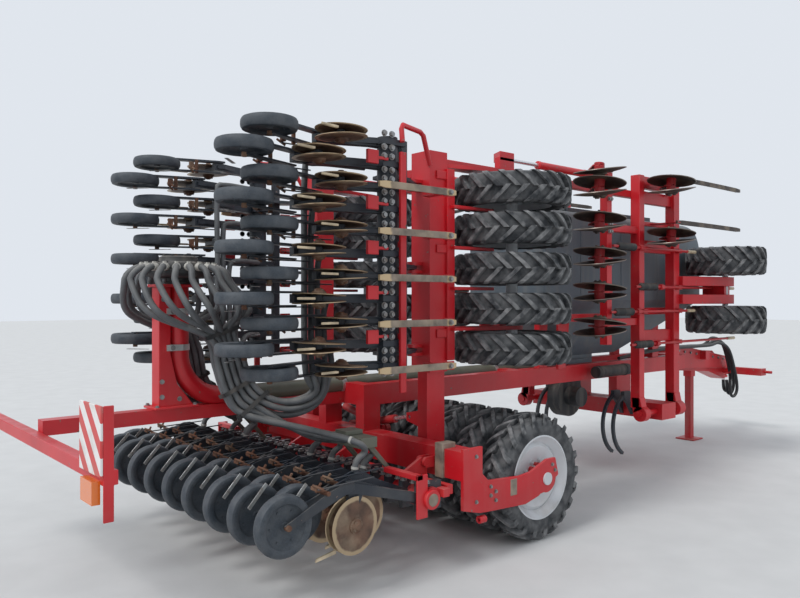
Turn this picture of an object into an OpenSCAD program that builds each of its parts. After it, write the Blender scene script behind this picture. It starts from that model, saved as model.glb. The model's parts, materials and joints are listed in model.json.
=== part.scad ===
// Folding trailed seed drill with a pneumatic tyre packer, standing folded on its jack.
// Millimetres. X points forward to the tractor, Y to the left, Z up, ground at Z = 0.
// Inside the modules X is counted from the packer's axle; on_ground() centres the length.
// A wing is drawn at work, with Y as the distance outboard, and wing() folds it up.

/* [Rows] */
// Distance between two neighbouring seed rows
row_pitch = 150; // [140:1:160]
// Rows on the centre section
center_rows = 18; // [16:1:18]
// Rows on each wing
wing_rows = 11; // [9:1:11]

/* [Tyre packer] */
// Diameter of a packer tyre over its lugs
tyre_d = 920; // [860:5:930]
// Width of a packer tyre
tyre_w = 240; // [200:5:250]
// Distance between two packer tyres
tyre_pitch = 300; // [290:1:310]
// Packer tyres on the centre section
center_tyres = 9; // [7:2:9]
// Packer tyres on each wing
wing_tyres = 5; // [4:1:5]
// Diameter of the rim's bead seat
rim_d = 600; // [560:5:640]
// Diameter of the packer shaft
shaft_d = 90; // [70:2:110]
// How far the wing packer's axle stands ahead of the centre axle
wing_axle_x = 130; // [110:5:150]
// Thickness of the arms that carry the packer shaft
arm_t = 37; // [25:1:37]

/* [Packer frame] */
// Side of the square beam behind the centre packer, in X
rear_beam_l = 160; // [120:5:170]
// Height of that beam
rear_beam_h = 190; // [150:5:190]
// Rear face of the centre packer beam
rear_beam_x = -860; // [-880:5:-860]
// Underside of the packer beams
rear_beam_z = 570; // [550:5:590]
// Rear face of the wing's packer beam
wing_beam_x = -660; // [-665:1:-650]
// Width of the wing's packer beam, in X
wing_beam_l = 175; // [140:5:180]

/* [Wing hinge] */
// Distance of the hinge axis from the middle
hinge_y = 740; // [720:5:760]
// Height of the hinge axis
hinge_z = 630; // [620:5:640]
// Diameter of a hinge pin
hinge_pin_d = 60; // [40:2:70]
// Outer diameter of a hinge eye
hinge_eye_d = 150; // [120:5:160]
// How far the wing's beams reach past the last harrow arm
wing_beam_past = 18; // [10:1:40]

/* [Seed bar] */
// Place of the seed bar's tube, in X
bar_x = -1100; // [-1120:5:-1090]
// Height of the seed bar's tube while it is lifted
bar_z = 500; // [490:5:510]
// Diameter of the seed bar's tube
bar_d = 140; // [120:2:150]
// Side of the square tube ahead of it
slim_bar_w = 60; // [40:2:64]
// Height of the lift pivots
lift_z = 665; // [655:1:675]
// Diameter of the lift pivots' pins
lift_pin_d = 40; // [30:2:50]

/* [Coulters] */
// Diameter of a seed disc
seed_disc_d = 340; // [300:5:350]
// Thickness of a seed disc
seed_disc_t = 7; // [4:1:10]
// Place of the rear row's seed discs, in X
seed_disc_x = -1700; // [-1720:5:-1690]
// Height of the seed discs
seed_disc_z = 440; // [430:5:450]
// Diameter of a press wheel
press_d = 330; // [300:5:340]
// Width of a press wheel
press_w = 56; // [40:2:60]
// Place of the rear row's press wheels, in X
press_x = -2170; // [-2190:5:-2160]
// Height of the press wheels
press_z = 525; // [515:5:540]
// How far the front row stands ahead of the rear row
stagger = 170; // [150:5:185]
// Height of a coulter arm
coulter_h = 55; // [40:1:60]
// Thickness of a coulter arm
coulter_t = 28; // [20:1:34]

/* [Disc harrow] */
// Diameter of a harrow disc
harrow_d = 460; // [420:5:480]
// Thickness of a harrow disc
harrow_t = 7; // [5:1:10]
// Height of the harrow discs while they are lifted
harrow_z = 420; // [410:5:440]
// Place of the rear row of harrow discs, in X
harrow_rear_x = 1240; // [1220:5:1260]
// Place of the front row of harrow discs, in X
harrow_front_x = 2620; // [2600:5:2640]
// Distance between two harrow discs of one row
harrow_pitch = 300; // [290:1:305]
// Angle of the harrow discs to the way of travel
harrow_angle = 14; // [8:1:18]
// Place of the slim beam that carries the rear row, in X
gang_beam_x = 1700; // [1680:5:1720]
// Side of that slim beam
gang_beam_w = 80; // [60:2:90]
// Harrow discs in the rear row of a wing
harrow_rear_discs = 6; // [4:1:6]
// Harrow discs in the front row of a wing
harrow_front_discs = 5; // [3:1:5]
// Distance from a harrow disc to its arm
hub_out = 60; // [58:1:70]
// Thickness of a harrow arm
harrow_arm_t = 22; // [14:1:26]

/* [Front frame] */
// Place of the wing's main beam, in X
main_beam_x = 2220; // [2210:1:2230]
// Width of the wing's main beam, in X
main_beam_l = 180; // [140:5:185]
// Place of the wing's front beam, in X
front_beam_x = 2870; // [2865:1:2880]
// Width of the wing's front beam, in X
front_beam_l = 160; // [120:5:165]
// Diameter of a front tyre
front_tyre_d = 820; // [760:5:840]
// Width of a front tyre
front_tyre_w = 300; // [260:5:310]
// Diameter of the front tyre's bead seat
front_rim_d = 400; // [360:5:420]
// Place of the front wheels, in X
front_wheel_x = 3660; // [3640:5:3680]
// Height of the front wheels' axle
front_wheel_z = 470; // [460:5:480]

/* [Main frame] */
// Underside of the long rails
rail_z = 950; // [945:1:960]
// Height of the long rails
rail_h = 160; // [120:5:160]
// Width of a long rail
rail_w = 100; // [80:5:110]
// Distance between the middles of the long rails
rail_gap = 500; // [460:10:540]
// Front end of the long rails, in X
rail_front_x = 3900; // [3850:10:3950]
// Place of the front hinge crossbeam, in X
cross_x = 2500; // [2490:1:2510]
// Width of the front hinge crossbeam, in X
cross_l = 260; // [200:5:280]

/* [Hopper] */
// Rear end of the hopper, in X
hopper_rear_x = 1100; // [1080:10:1150]
// Front end of the hopper, in X
hopper_front_x = 3500; // [3400:10:3550]
// Width of the hopper
hopper_w = 960; // [860:10:980]
// Height of the hopper's top
hopper_top_z = 2600; // [2500:10:2650]
// Height where the hopper begins to narrow
hopper_knee_z = 1750; // [1650:10:1850]
// Underside of the hopper
hopper_low_z = 1190; // [1180:5:1210]
// Wall thickness of the hopper
hopper_wall = 14; // [8:1:20]
// Length of the filling hatch
hatch_l = 1400; // [1200:10:1500]
// Width of the filling hatch
hatch_w = 760; // [600:10:780]
// Thickness of the lid
lid_t = 40; // [20:2:60]

/* [Drawbar] */
// Width of the drawbar
drawbar_w = 200; // [180:5:220]
// Place of the hitch swivel, in X
swivel_x = 5420; // [5400:5:5440]
// Height of the drawbar's nose
nose_z = 800; // [790:5:810]
// Diameter of a link pin
link_pin_d = 36.6; // [22.4:0.1:51]
// Length of a link pin
link_pin_l = 90; // [60:5:110]
// Width of the hitch bar between the link pins
hitch_w = 870; // [700:10:900]

/* [Jack] */
// Place of the jack, in X
jack_x = 4560; // [4530:5:4590]
// Side of the jack's square leg
jack_w = 80; // [60:2:90]
// Side of the jack's foot plate
jack_foot_w = 240; // [180:10:280]
// Thickness of the jack's foot plate
jack_foot_t = 16; // [10:1:24]

/* [Air system] */
// Diameter of the seed pipe
pipe_d = 125; // [100:5:130]
// Height of the seed pipe over the rails
pipe_z = 1185; // [1180:1:1190]
// Place of the distributor, in X
dist_x = -2250; // [-2270:5:-2230]
// Height of the distributor's underside
dist_z = 1900; // [1860:10:1950]
// Diameter of the distributor's head
dist_d = 440; // [380:10:480]
// Height of the distributor's head
dist_h = 110; // [80:5:140]
// Place of the fan, in X
fan_x = 1900; // [1880:5:1920]
// Height of the fan's axis
fan_z = 780; // [760:5:785]
// Diameter of the fan's housing
fan_d = 410; // [340:5:420]

/* [Track tines] */
// Distance of the inner track tine from the middle
tine_y = 360; // [340:5:400]
// Distance between the two track tines of one side
tine_pitch = 120; // [90:5:140]
// Radius of a track tine's bow
tine_r = 330; // [300:5:340]
// Thickness of a track tine
tine_t = 30; // [20:1:36]

/* [Lights] */
// Place of the light bar, in X
light_bar_x = -3100; // [-3120:10:-3080]
// Side of the light bar's square tube
light_bar_w = 70; // [50:5:80]
// Height of the light bar's underside
light_bar_z = 900; // [880:5:910]
// Width of a warning board
board_w = 300; // [280:5:320]
// Height of a warning board
board_h = 330; // [300:5:350]
// Distance of a board's outer edge from the middle
board_out_y = 1290; // [1250:5:1300]
// Thickness of a warning board
board_t = 14; // [6:1:20]

/* [Hidden] */
$fn = 48;
seat_gap = 0.3;
pin_gap = 0.3;
tyre_r = tyre_d / 2;
rim_r = rim_d / 2;
shaft_r = shaft_d / 2;
axle_z = tyre_r;
center_out_y = (center_tyres - 1) / 2 * tyre_pitch + tyre_w / 2;
arm_in_y = center_out_y + 13;
arm_out_y = arm_in_y + arm_t;
wing_first_tyre_y = (center_tyres + 1) / 2 * tyre_pitch;
wing_last_tyre_y = wing_first_tyre_y + (wing_tyres - 1) * tyre_pitch;
wing_first_row_y = (center_rows + 1) / 2 * row_pitch;
rear_beam_front_x = rear_beam_x + rear_beam_l;
rear_beam_top_z = rear_beam_z + rear_beam_h;
wing_beam_front_x = wing_beam_x + wing_beam_l;
wing_beam_z = 550;
wing_beam_h = 200;
wing_arm_z = 580;
wing_arm_h = 100;
wing_arm_out_y = 1340;
lift_back = 70;
center_lift_x = rear_beam_x - lift_back;
wing_lift_x = wing_beam_x - lift_back;
lug_t = 24;
lift_arm_t = 24;
clamp_l = 200;
clamp_h = 180;
clamp_t = 38;
disc_side_y = coulter_t / 2 + 12;
press_arm_t = 14;
press_arm_y = press_w / 2 + 5;
stub_d = 24;
board_rear_x = light_bar_x - light_bar_w / 2 - board_t;
lamp_l = 40;
rear_reach_x = light_bar_x - light_bar_w / 2 - lamp_l;
hitch_front_x = swivel_x + 330;
mid_x = (hitch_front_x + rear_reach_x) / 2;
packer_plate_t = 30;
inner_plate_y = wing_first_tyre_y + tyre_pitch / 2 - packer_plate_t / 2;
outer_plate_y = wing_last_tyre_y + tyre_w / 2 + 22;
harrow_arm_past = hub_out + harrow_arm_t;
harrow_rear_ys = [for (i = [0 : harrow_rear_discs - 1]) wing_first_tyre_y + i * harrow_pitch];
harrow_front_ys = [for (i = [0 : harrow_front_discs - 1]) wing_first_tyre_y + (i + 0.5) * harrow_pitch];
gang_out_y = harrow_rear_ys[harrow_rear_discs - 1] + harrow_arm_past + wing_beam_past;
wing_out_y = max(
    harrow_front_ys[harrow_front_discs - 1] + harrow_arm_past + wing_beam_past,
    outer_plate_y + packer_plate_t + wing_beam_past
);
ram_right_x = wing_beam_x + 38;
ram_left_x = wing_beam_front_x - 38;
ram_bracket_t = 25;
ram_bracket_w = 60;
ram_bracket_x = ram_left_x - 37;
ram_pin_y = 160;
ram_pin_z = 730;
ram_lug_y = 250;
ram_lug_z = 160;
ram_len = norm([hinge_y - ram_lug_z + ram_pin_y, hinge_z + ram_lug_y - ram_pin_z]);
ram_tilt = atan2(hinge_z + ram_lug_y - ram_pin_z, hinge_y - ram_lug_z + ram_pin_y);
ram_d = 64;
ram_rod_d = 34;
ram_eye_d = 64;
ram_pin_d = 30;
sleeve_wall = 12;
jack_gap = 0.5;

// Helpers

module box_at(x, y, z) {
    translate([x[0], y[0], z[0]]) cube([x[1] - x[0], y[1] - y[0], z[1] - z[0]]);
}

module rod_y(x, z, d, y) {
    translate([x, y[1], z]) rotate([90, 0, 0]) cylinder(d = d, h = y[1] - y[0]);
}

module rod_x(y, z, d, x) {
    translate([x[0], y, z]) rotate([0, 90, 0]) cylinder(d = d, h = x[1] - x[0]);
}

// A plate standing along X: its outline is given in X and Z
module side_plate(points, y) {
    translate([0, y[1], 0]) rotate([90, 0, 0]) linear_extrude(height = y[1] - y[0]) polygon(points);
}

// The same on both sides of the machine
module both_sides() {
    children();
    mirror([0, 1, 0]) children();
}

module on_ground() {
    translate([-mid_x, 0, 0]) children();
}

// Folds a wing that is drawn at work; side is 1 on the left and -1 on the right
module wing(side) {
    if (side > 0) fold() children();
    else mirror([0, 1, 0]) fold() children();
}

module fold() {
    translate([0, hinge_y, hinge_z]) rotate([90, 0, 0]) translate([0, -hinge_y, -hinge_z]) children();
}

// Tyre with its axis along Y, centred on the origin
module tyre(d, w, seat_d) {
    shoulder = w * 0.14;
    bead = w * 0.06;
    r = d / 2;
    rotate([90, 0, 0]) rotate_extrude($fn = 96) polygon([
        [seat_d / 2, -w / 2 + bead],
        [r - shoulder, -w / 2],
        [r, -w / 2 + shoulder],
        [r, w / 2 - shoulder],
        [r - shoulder, w / 2],
        [seat_d / 2, w / 2 - bead]
    ]);
}

// Rim with its disc and hub, bored for the shaft
module rim(seat_d, w, bore_d) {
    ring_t = 14;
    disc_t = 12;
    hub_r = bore_d / 2 + 36;
    outer_r = seat_d / 2 - seat_gap;
    rotate([90, 0, 0]) rotate_extrude($fn = 96) {
        translate([outer_r - ring_t, -w / 2 + 16]) square([ring_t, w - 32]);
        translate([hub_r - 6, -disc_t / 2]) square([outer_r - ring_t - hub_r + 12, disc_t]);
        translate([bore_d / 2, -w / 3]) square([hub_r - bore_d / 2, w / 1.5]);
    }
}

function center_tyre_y(i) = (i - (center_tyres - 1) / 2) * tyre_pitch;
function wing_tyre_y(i) = wing_first_tyre_y + i * tyre_pitch;
// Rows of one rank: every other row, the rear rank first at the centre's right edge
function center_row_y(i) = (i - (center_rows - 1) / 2) * row_pitch;
function wing_row_y(i) = wing_first_row_y + i * row_pitch;
center_rear_rows = [for (i = [0 : 2 : center_rows - 1]) center_row_y(i)];
center_front_rows = [for (i = [1 : 2 : center_rows - 1]) center_row_y(i)];
wing_front_rows = [for (i = [0 : 2 : wing_rows - 1]) wing_row_y(i)];
wing_rear_rows = [for (i = [1 : 2 : wing_rows - 1]) wing_row_y(i)];

// Packer rolls

module tyres(ys, x) {
    for (y = ys) translate([x, y, axle_z]) tyre(tyre_d, tyre_w, rim_d);
}

module rims(ys, x, shaft_y) {
    for (y = ys) translate([x, y, axle_z]) rim(rim_d, tyre_w, shaft_d);
    rod_y(x, axle_z, shaft_d, shaft_y);
}

center_ys = [for (i = [0 : center_tyres - 1]) center_tyre_y(i)];
wing_ys = [for (i = [0 : wing_tyres - 1]) wing_tyre_y(i)];

module tyres_center() color("#2b2d31") tyres(center_ys, 0);
module rims_center() color("#d5d8da") rims(center_ys, 0, [-arm_out_y, arm_out_y]);
module tyres_wing() color("#2b2d31") tyres(wing_ys, wing_axle_x);
module rims_wing() color("#d5d8da") rims(wing_ys, wing_axle_x, [wing_first_tyre_y - tyre_w / 3, outer_plate_y + packer_plate_t]);

// Plates that carry the wing's packer shaft, one in the first gap and one past the last tyre
plate_h = 130;

module shaft_plate(x_beam, x_axle, y, t, z_beam) {
    difference() {
        union() {
            side_plate([
                [x_beam, z_beam + 10],
                [x_beam, z_beam + plate_h],
                [x_axle, axle_z + shaft_r + 40],
                [x_axle, axle_z - shaft_r - 40]
            ], [y, y + t]);
            rod_y(x_axle, axle_z, shaft_d + 80, [y, y + t]);
        }
        rod_y(x_axle, axle_z, shaft_d + 2 * pin_gap, [y - 1, y + t + 1]);
    }
}

// Centre packer frame

module lift_lugs(x_face, x_pivot, ys) {
    for (y = ys, s = [-1, 1]) difference() {
        union() {
            box_at(
                [x_pivot, x_face + 1],
                [y + s * (lift_arm_t / 2 + 6) + (s - 1) / 2 * lug_t, y + s * (lift_arm_t / 2 + 6) + (s + 1) / 2 * lug_t],
                [lift_z - 35, lift_z + 35]
            );
            rod_y(
                x_pivot, lift_z, 70,
                [y + s * (lift_arm_t / 2 + 6) + (s - 1) / 2 * lug_t, y + s * (lift_arm_t / 2 + 6) + (s + 1) / 2 * lug_t]
            );
        }
        rod_y(x_pivot, lift_z, lift_pin_d + 2 * pin_gap, [y - 100, y + 100]);
    }
}

center_lift_ys = [for (i = [-7, -2, 2, 7]) i * row_pitch];
wing_lift_ys = [wing_first_row_y + row_pitch / 2, wing_first_row_y + 4.5 * row_pitch, wing_first_row_y + 8.5 * row_pitch];

module packer_arm() {
    drop_z = wing_beam_z - 30;
    difference() {
        union() {
            side_plate([
                [rear_beam_x, 380],
                [rear_beam_x, rear_beam_top_z + 20],
                [rear_beam_front_x + 20, rear_beam_top_z + 20],
                [rear_beam_front_x + 20, drop_z],
                [-420, drop_z - 10],
                [0, axle_z + 90],
                [0, axle_z - 90],
                [-420, 330],
                [rear_beam_front_x, 340]
            ], [arm_in_y, arm_out_y]);
            rod_y(0, axle_z, shaft_d + 110, [arm_in_y, arm_out_y]);
        }
        rod_y(0, axle_z, shaft_d + 2 * pin_gap, [arm_in_y - 1, arm_out_y + 1]);
    }
}

// Carries the left ram's pin past the right ram, which swings over the bracket's foot
module ram_bracket() {
    bracket_y = [-ram_pin_y - ram_bracket_w / 2, -ram_pin_y + ram_bracket_w / 2];
    foot_z = ram_pin_z - 100;
    box_at([rear_beam_front_x - 1, ram_bracket_x], bracket_y, [foot_z, ram_pin_z - 30]);
    box_at([ram_bracket_x - ram_bracket_t, ram_bracket_x], bracket_y, [foot_z, ram_pin_z + 30]);
    rod_x(-ram_pin_y, ram_pin_z, ram_pin_d, [ram_bracket_x - 1, ram_left_x + 24]);
}

module packer_frame() color("#c01f25") {
    box_at([rear_beam_x, rear_beam_front_x], [-arm_in_y - 1, arm_in_y + 1], [rear_beam_z, rear_beam_top_z]);
    both_sides() packer_arm();
    both_sides() rod_x(hinge_y, hinge_z, hinge_pin_d, [rear_beam_front_x - 20, wing_beam_front_x + 12]);
    rod_x(ram_pin_y, ram_pin_z, ram_pin_d, [rear_beam_front_x - 20, ram_right_x + 24]);
    ram_bracket();
    lift_lugs(rear_beam_x, center_lift_x, center_lift_ys);
}

// Main frame

post_w = 120;

module main_frame() color("#c01f25") {
    both_sides() box_at([rear_beam_x, rail_front_x], [rail_gap / 2 - rail_w / 2, rail_gap / 2 + rail_w / 2], [rail_z, rail_z + rail_h]);
    both_sides() box_at([rear_beam_x, rear_beam_front_x], [rail_gap / 2 - rail_w / 2, rail_gap / 2 + rail_w / 2], [rear_beam_top_z, rail_z + 1]);
    both_sides() box_at([cross_x, cross_x + cross_l], [rail_gap / 2 - rail_w / 2, rail_gap / 2 + rail_w / 2], [hinge_z, rail_z + 1]);
    for (x = [rear_beam_x, 900, rail_front_x - post_w])
        box_at([x, x + post_w], [-rail_gap / 2, rail_gap / 2], [rail_z, rail_z + rail_h]);
    box_at([cross_x, cross_x + cross_l], [-hinge_y - 80, hinge_y + 80], [hinge_z - 80, hinge_z + 80]);
    both_sides() rod_x(hinge_y, hinge_z, hinge_pin_d, [main_beam_x - 12, front_beam_x + front_beam_l + 12]);
    difference() {
        for (x = [hopper_rear_x + 150, hopper_front_x - 150 - post_w])
            both_sides() box_at([x, x + post_w], [rail_gap / 2 - 30, rail_gap / 2 + 30], [rail_z + rail_h - 1, hopper_knee_z - 60]);
        hopper_form(-seat_gap);
    }
    box_at([light_bar_x + light_bar_w / 2, rear_beam_x + 1], [-50, 50], [rail_z, rail_z + 90]);
}

// Drawbar, hitch and jack

swivel_pin_d = 40;
jack_top_z = 1100;
jack_hole = jack_w + 2 * jack_gap;
sleeve_w = jack_hole + 2 * sleeve_wall;

module drawbar() color("#c01f25") {
    difference() {
        union() {
            side_plate([
                [rail_front_x, rail_z - 40],
                [rail_front_x, rail_z + rail_h],
                [jack_x + 400, rail_z + rail_h - 10],
                [swivel_x - 120, nose_z + 90],
                [swivel_x - 120, nose_z - 90],
                [jack_x + 300, rail_z - 110]
            ], [-drawbar_w / 2, drawbar_w / 2]);
            box_at([jack_x - sleeve_w / 2, jack_x + sleeve_w / 2], [-sleeve_w / 2, sleeve_w / 2], [rail_z - 160, jack_top_z]);
            for (s = [-1, 1]) {
                box_at([swivel_x - 130, swivel_x], [-70, 70], [nose_z + s * 65 - 15, nose_z + s * 65 + 15]);
                translate([swivel_x, 0, nose_z + s * 65 - 15]) cylinder(d = 140, h = 30);
            }
        }
        box_at([jack_x - jack_hole / 2, jack_x + jack_hole / 2], [-jack_hole / 2, jack_hole / 2], [0, 2 * jack_top_z]);
        translate([swivel_x, 0, 0]) cylinder(d = swivel_pin_d + 2 * pin_gap, h = 2 * nose_z);
    }
}

module hitch_head() color("#a81b20") {
    bar_x = swivel_x + 230;
    translate([swivel_x, 0, nose_z - 100]) cylinder(d = swivel_pin_d, h = 200);
    translate([swivel_x, 0, nose_z - 44]) cylinder(d = 120, h = 88);
    box_at([swivel_x + 40, bar_x], [-45, 45], [nose_z - 44, nose_z + 44]);
    box_at([bar_x - 45, bar_x + 45], [-hitch_w / 2, hitch_w / 2], [nose_z - 45, nose_z + 45]);
    both_sides() box_at([bar_x - 45, hitch_front_x], [hitch_w / 2 - 30, hitch_w / 2], [nose_z - 45, nose_z + 45]);
    both_sides() rod_y(hitch_front_x - link_pin_d, nose_z, link_pin_d, [hitch_w / 2 - 1, hitch_w / 2 + link_pin_l]);
}

module jack_leg() color("#a81b20") {
    box_at([jack_x - jack_w / 2, jack_x + jack_w / 2], [-jack_w / 2, jack_w / 2], [jack_foot_t, jack_top_z - 40]);
    box_at([jack_x - jack_foot_w / 2, jack_x + jack_foot_w / 2], [-jack_foot_w / 2, jack_foot_w / 2], [0, jack_foot_t]);
}

// Hopper

module hopper_form(inset) {
    intersection() {
        side_plate([
            [hopper_rear_x + inset, hopper_knee_z],
            [hopper_rear_x + inset, hopper_top_z - 150],
            [hopper_rear_x + 150 + inset, hopper_top_z - inset],
            [hopper_front_x - 250 - inset, hopper_top_z - inset],
            [hopper_front_x - inset, hopper_top_z - 250],
            [hopper_front_x - inset, hopper_knee_z],
            [hopper_front_x - 800 - inset, hopper_low_z + inset],
            [hopper_rear_x + 750 + inset, hopper_low_z + inset]
        ], [-hopper_w, hopper_w]);
        rotate([90, 0, 90]) linear_extrude(height = hopper_front_x + 100) polygon([
            [-140 + inset, hopper_low_z],
            [140 - inset, hopper_low_z],
            [hopper_w / 2 - inset, hopper_knee_z],
            [hopper_w / 2 - inset, hopper_top_z - 120],
            [hopper_w / 2 - 100 - inset, hopper_top_z],
            [-hopper_w / 2 + 100 + inset, hopper_top_z],
            [-hopper_w / 2 + inset, hopper_top_z - 120],
            [-hopper_w / 2 + inset, hopper_knee_z]
        ]);
    }
}

hatch_x = (hopper_rear_x + hopper_front_x - hatch_l) / 2 - 40;

metering_x = hopper_rear_x + 560;
metering_z = rail_z + 50;

module hopper() color("#3f4a55") {
    difference() {
        hopper_form(0);
        hopper_form(hopper_wall);
        box_at([hatch_x, hatch_x + hatch_l], [-hatch_w / 2, hatch_w / 2], [hopper_top_z - 60, hopper_top_z + 60]);
    }
    box_at([metering_x, metering_x + 640], [-130, 130], [metering_z, hopper_low_z + 1]);
}

hinge_x = hatch_x - 46;

module hopper_lid() color("#2f3a44") {
    lid_z = hopper_top_z + seat_gap;
    box_at([hatch_x - 30, hatch_x + hatch_l + 30], [-hatch_w / 2 - 15, hatch_w / 2 + 15], [lid_z, lid_z + lid_t]);
    rod_y(hinge_x, hopper_top_z + 21, 40, [-hatch_w / 2, hatch_w / 2]);
}

// Air system

fan_y = [-150, -20];
fan_motor_l = 140;
duct_y = [fan_y[0] + 20, fan_y[1] - 20];

module fan() color("#1d1f22") {
    rod_y(fan_x, fan_z, fan_d, fan_y);
    rod_y(fan_x, fan_z, fan_d * 0.48, [fan_y[0] - fan_motor_l, fan_y[0] + 1]);
    box_at([fan_x, fan_x + fan_d / 2], duct_y, [fan_z, metering_z - 20]);
    box_at([fan_x, fan_x + 80], duct_y, [metering_z - 21, metering_z - seat_gap]);
}

module seed_pipe() color("#6c7165") {
    elbow_r = 260;
    pipe_end_x = dist_x + elbow_r;
    rod_x(0, pipe_z, pipe_d, [pipe_end_x, metering_x - seat_gap]);
    translate([pipe_end_x, 0, pipe_z + elbow_r]) rotate([90, 0, 0]) rotate([0, 0, 180])
        rotate_extrude(angle = 90) translate([elbow_r, 0]) circle(d = pipe_d);
    translate([dist_x, 0, pipe_z + elbow_r]) cylinder(d = pipe_d, h = dist_z - 40 - pipe_z - elbow_r - seat_gap);
}

module tower() color("#c01f25") {
    tower_x = dist_x - 200;
    both_sides() box_at([tower_x, tower_x + 110], [50, 64], [rail_z, dist_z - 40]);
    box_at([tower_x, tower_x + 14], [-64, 64], [rail_z + 91, dist_z - 40]);
    difference() {
        box_at([tower_x, dist_x + 120], [-110, 110], [dist_z - 60, dist_z - 40]);
        translate([dist_x, 0, dist_z - 100]) cylinder(d = pipe_d + 2 * seat_gap, h = 100);
    }
}

module distributor() color("#2b2d31") {
    translate([dist_x, 0, dist_z]) cylinder(d = dist_d, h = dist_h);
    translate([dist_x, 0, dist_z + dist_h - 1]) cylinder(d = dist_d * 0.6, h = 40);
    translate([dist_x, 0, dist_z - 40 + seat_gap]) cylinder(d = pipe_d + 60, h = 40);
}

// Lights and boards

module light_bar() color("#c01f25") {
    box_at([light_bar_x - light_bar_w / 2, light_bar_x + light_bar_w / 2], [-board_out_y, board_out_y], [light_bar_z, light_bar_z + light_bar_w]);
    both_sides() box_at(
        [light_bar_x - light_bar_w / 2, light_bar_x + light_bar_w / 2 - 20],
        [board_out_y - 8, board_out_y],
        [light_bar_z - 170, light_bar_z + 370]
    );
}

module warning_boards() color("#f0ece6") both_sides() box_at(
    [board_rear_x, board_rear_x + board_t - seat_gap],
    [board_out_y - board_w, board_out_y],
    [light_bar_z + 40, light_bar_z + 40 + board_h]
);

module lamps() color("#d8601c") both_sides() box_at(
    [rear_reach_x, light_bar_x - light_bar_w / 2 - seat_gap],
    [board_out_y - 200, board_out_y - 40],
    [light_bar_z - 90, light_bar_z + 20]
);

// Track tines

tine_z = 480;
tine_back = 170;
tine_bracket_t = 40;

module track_tine(y) {
    translate([cross_x - 10, y + tine_t / 2, tine_z]) rotate([90, 0, 0]) rotate([0, 0, 110])
        rotate_extrude(angle = 130) translate([tine_r - tine_t / 2, 0]) square([tine_t, tine_t]);
    side_plate([
        [cross_x - seat_gap, hinge_z + 60],
        [cross_x - seat_gap, hinge_z - 60],
        [cross_x - 90, hinge_z + 60],
        [cross_x - tine_back, tine_z + tine_r - 60],
        [cross_x - tine_back, tine_z + tine_r + 10],
        [cross_x - 60, tine_z + tine_r + 10]
    ], [y - tine_bracket_t / 2, y + tine_bracket_t / 2]);
}

module track_tines() color("#1d1f22") both_sides() for (y = [tine_y, tine_y + tine_pitch]) track_tine(y);

// Seed bars and coulters

module seed_bar(ys, ends, x_pivot) {
    slim_x = bar_x + bar_d / 2 + slim_bar_w;
    rod_y(bar_x, bar_z, bar_d, ends);
    box_at([slim_x, slim_x + slim_bar_w - 10], ends, [bar_z, bar_z + slim_bar_w]);
    for (y = ys) {
        difference() {
            side_plate([
                [x_pivot + 25, lift_z - 25],
                [x_pivot + 25, lift_z + 25],
                [x_pivot - 25, lift_z + 35],
                [bar_x - 40, bar_z + 110],
                [bar_x - 60, bar_z],
                [bar_x, bar_z - 60],
                [slim_x + 50, bar_z - 20]
            ], [y - lift_arm_t / 2, y + lift_arm_t / 2]);
        }
        rod_y(x_pivot, lift_z, lift_pin_d, [y - lift_arm_t / 2 - 6 - lug_t, y + lift_arm_t / 2 + 6 + lug_t]);
    }
}

module coulter(y, ahead) {
    knee_x = seed_disc_x + ahead + 20;
    knee_z = 645;
    wheel_x = press_x + ahead;
    difference() {
        box_at([bar_x - clamp_l / 2, bar_x + clamp_l / 2], [y - clamp_t / 2, y + clamp_t / 2], [bar_z - 80, bar_z - 80 + clamp_h]);
        rod_y(bar_x, bar_z, bar_d + 2 * seat_gap, [y - clamp_t, y + clamp_t]);
    }
    side_plate([
        [bar_x - clamp_l / 2 + 1, bar_z - 30],
        [bar_x - clamp_l / 2 + 1, bar_z - 30 + coulter_h],
        [knee_x, knee_z + coulter_h],
        [knee_x, knee_z]
    ], [y - coulter_t / 2, y + coulter_t / 2]);
    side_plate([
        [knee_x + 1, knee_z],
        [knee_x + 1, knee_z + coulter_h],
        [knee_x - 60, knee_z + coulter_h],
        [seed_disc_x + ahead - 30, seed_disc_z + 20],
        [seed_disc_x + ahead - 10, seed_disc_z - 25],
        [seed_disc_x + ahead + 25, seed_disc_z - 10],
        [seed_disc_x + ahead + 30, seed_disc_z + 30]
    ], [y - coulter_t / 2, y + coulter_t / 2]);
    rod_y(seed_disc_x + ahead, seed_disc_z, 50, [y - coulter_t / 2, y + disc_side_y - 5]);
    rod_y(knee_x - 30, knee_z + coulter_h / 2, 30, [y - coulter_t / 2, y + press_arm_y + press_arm_t]);
    difference() {
        side_plate([
            [knee_x, knee_z],
            [knee_x, knee_z + coulter_h],
            [knee_x - 60, knee_z + coulter_h],
            [wheel_x - 20, press_z + 28],
            [wheel_x - 20, press_z - 28],
            [wheel_x + 20, press_z - 28]
        ], [y + press_arm_y, y + press_arm_y + press_arm_t]);
    }
    rod_y(wheel_x, press_z, stub_d, [y - press_w / 2 + 4, y + press_arm_y + 1]);
}

module coulters(rear, front) {
    for (y = rear) coulter(y, 0);
    for (y = front) coulter(y, stagger);
}

module seed_discs(rear, front) {
    for (y = rear) rod_y(seed_disc_x, seed_disc_z, seed_disc_d, [y + disc_side_y - 5, y + disc_side_y - 5 + seed_disc_t]);
    for (y = front) rod_y(seed_disc_x + stagger, seed_disc_z, seed_disc_d, [y + disc_side_y - 5, y + disc_side_y - 5 + seed_disc_t]);
}

module press_wheels(ys, ahead) {
    for (y = ys) difference() {
        rod_y(press_x + ahead, press_z, press_d, [y - press_w / 2, y + press_w / 2]);
        rod_y(press_x + ahead, press_z, stub_d + 2 * pin_gap, [y - press_w / 2 - 1, y + press_w / 2 + 1]);
    }
}

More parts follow.
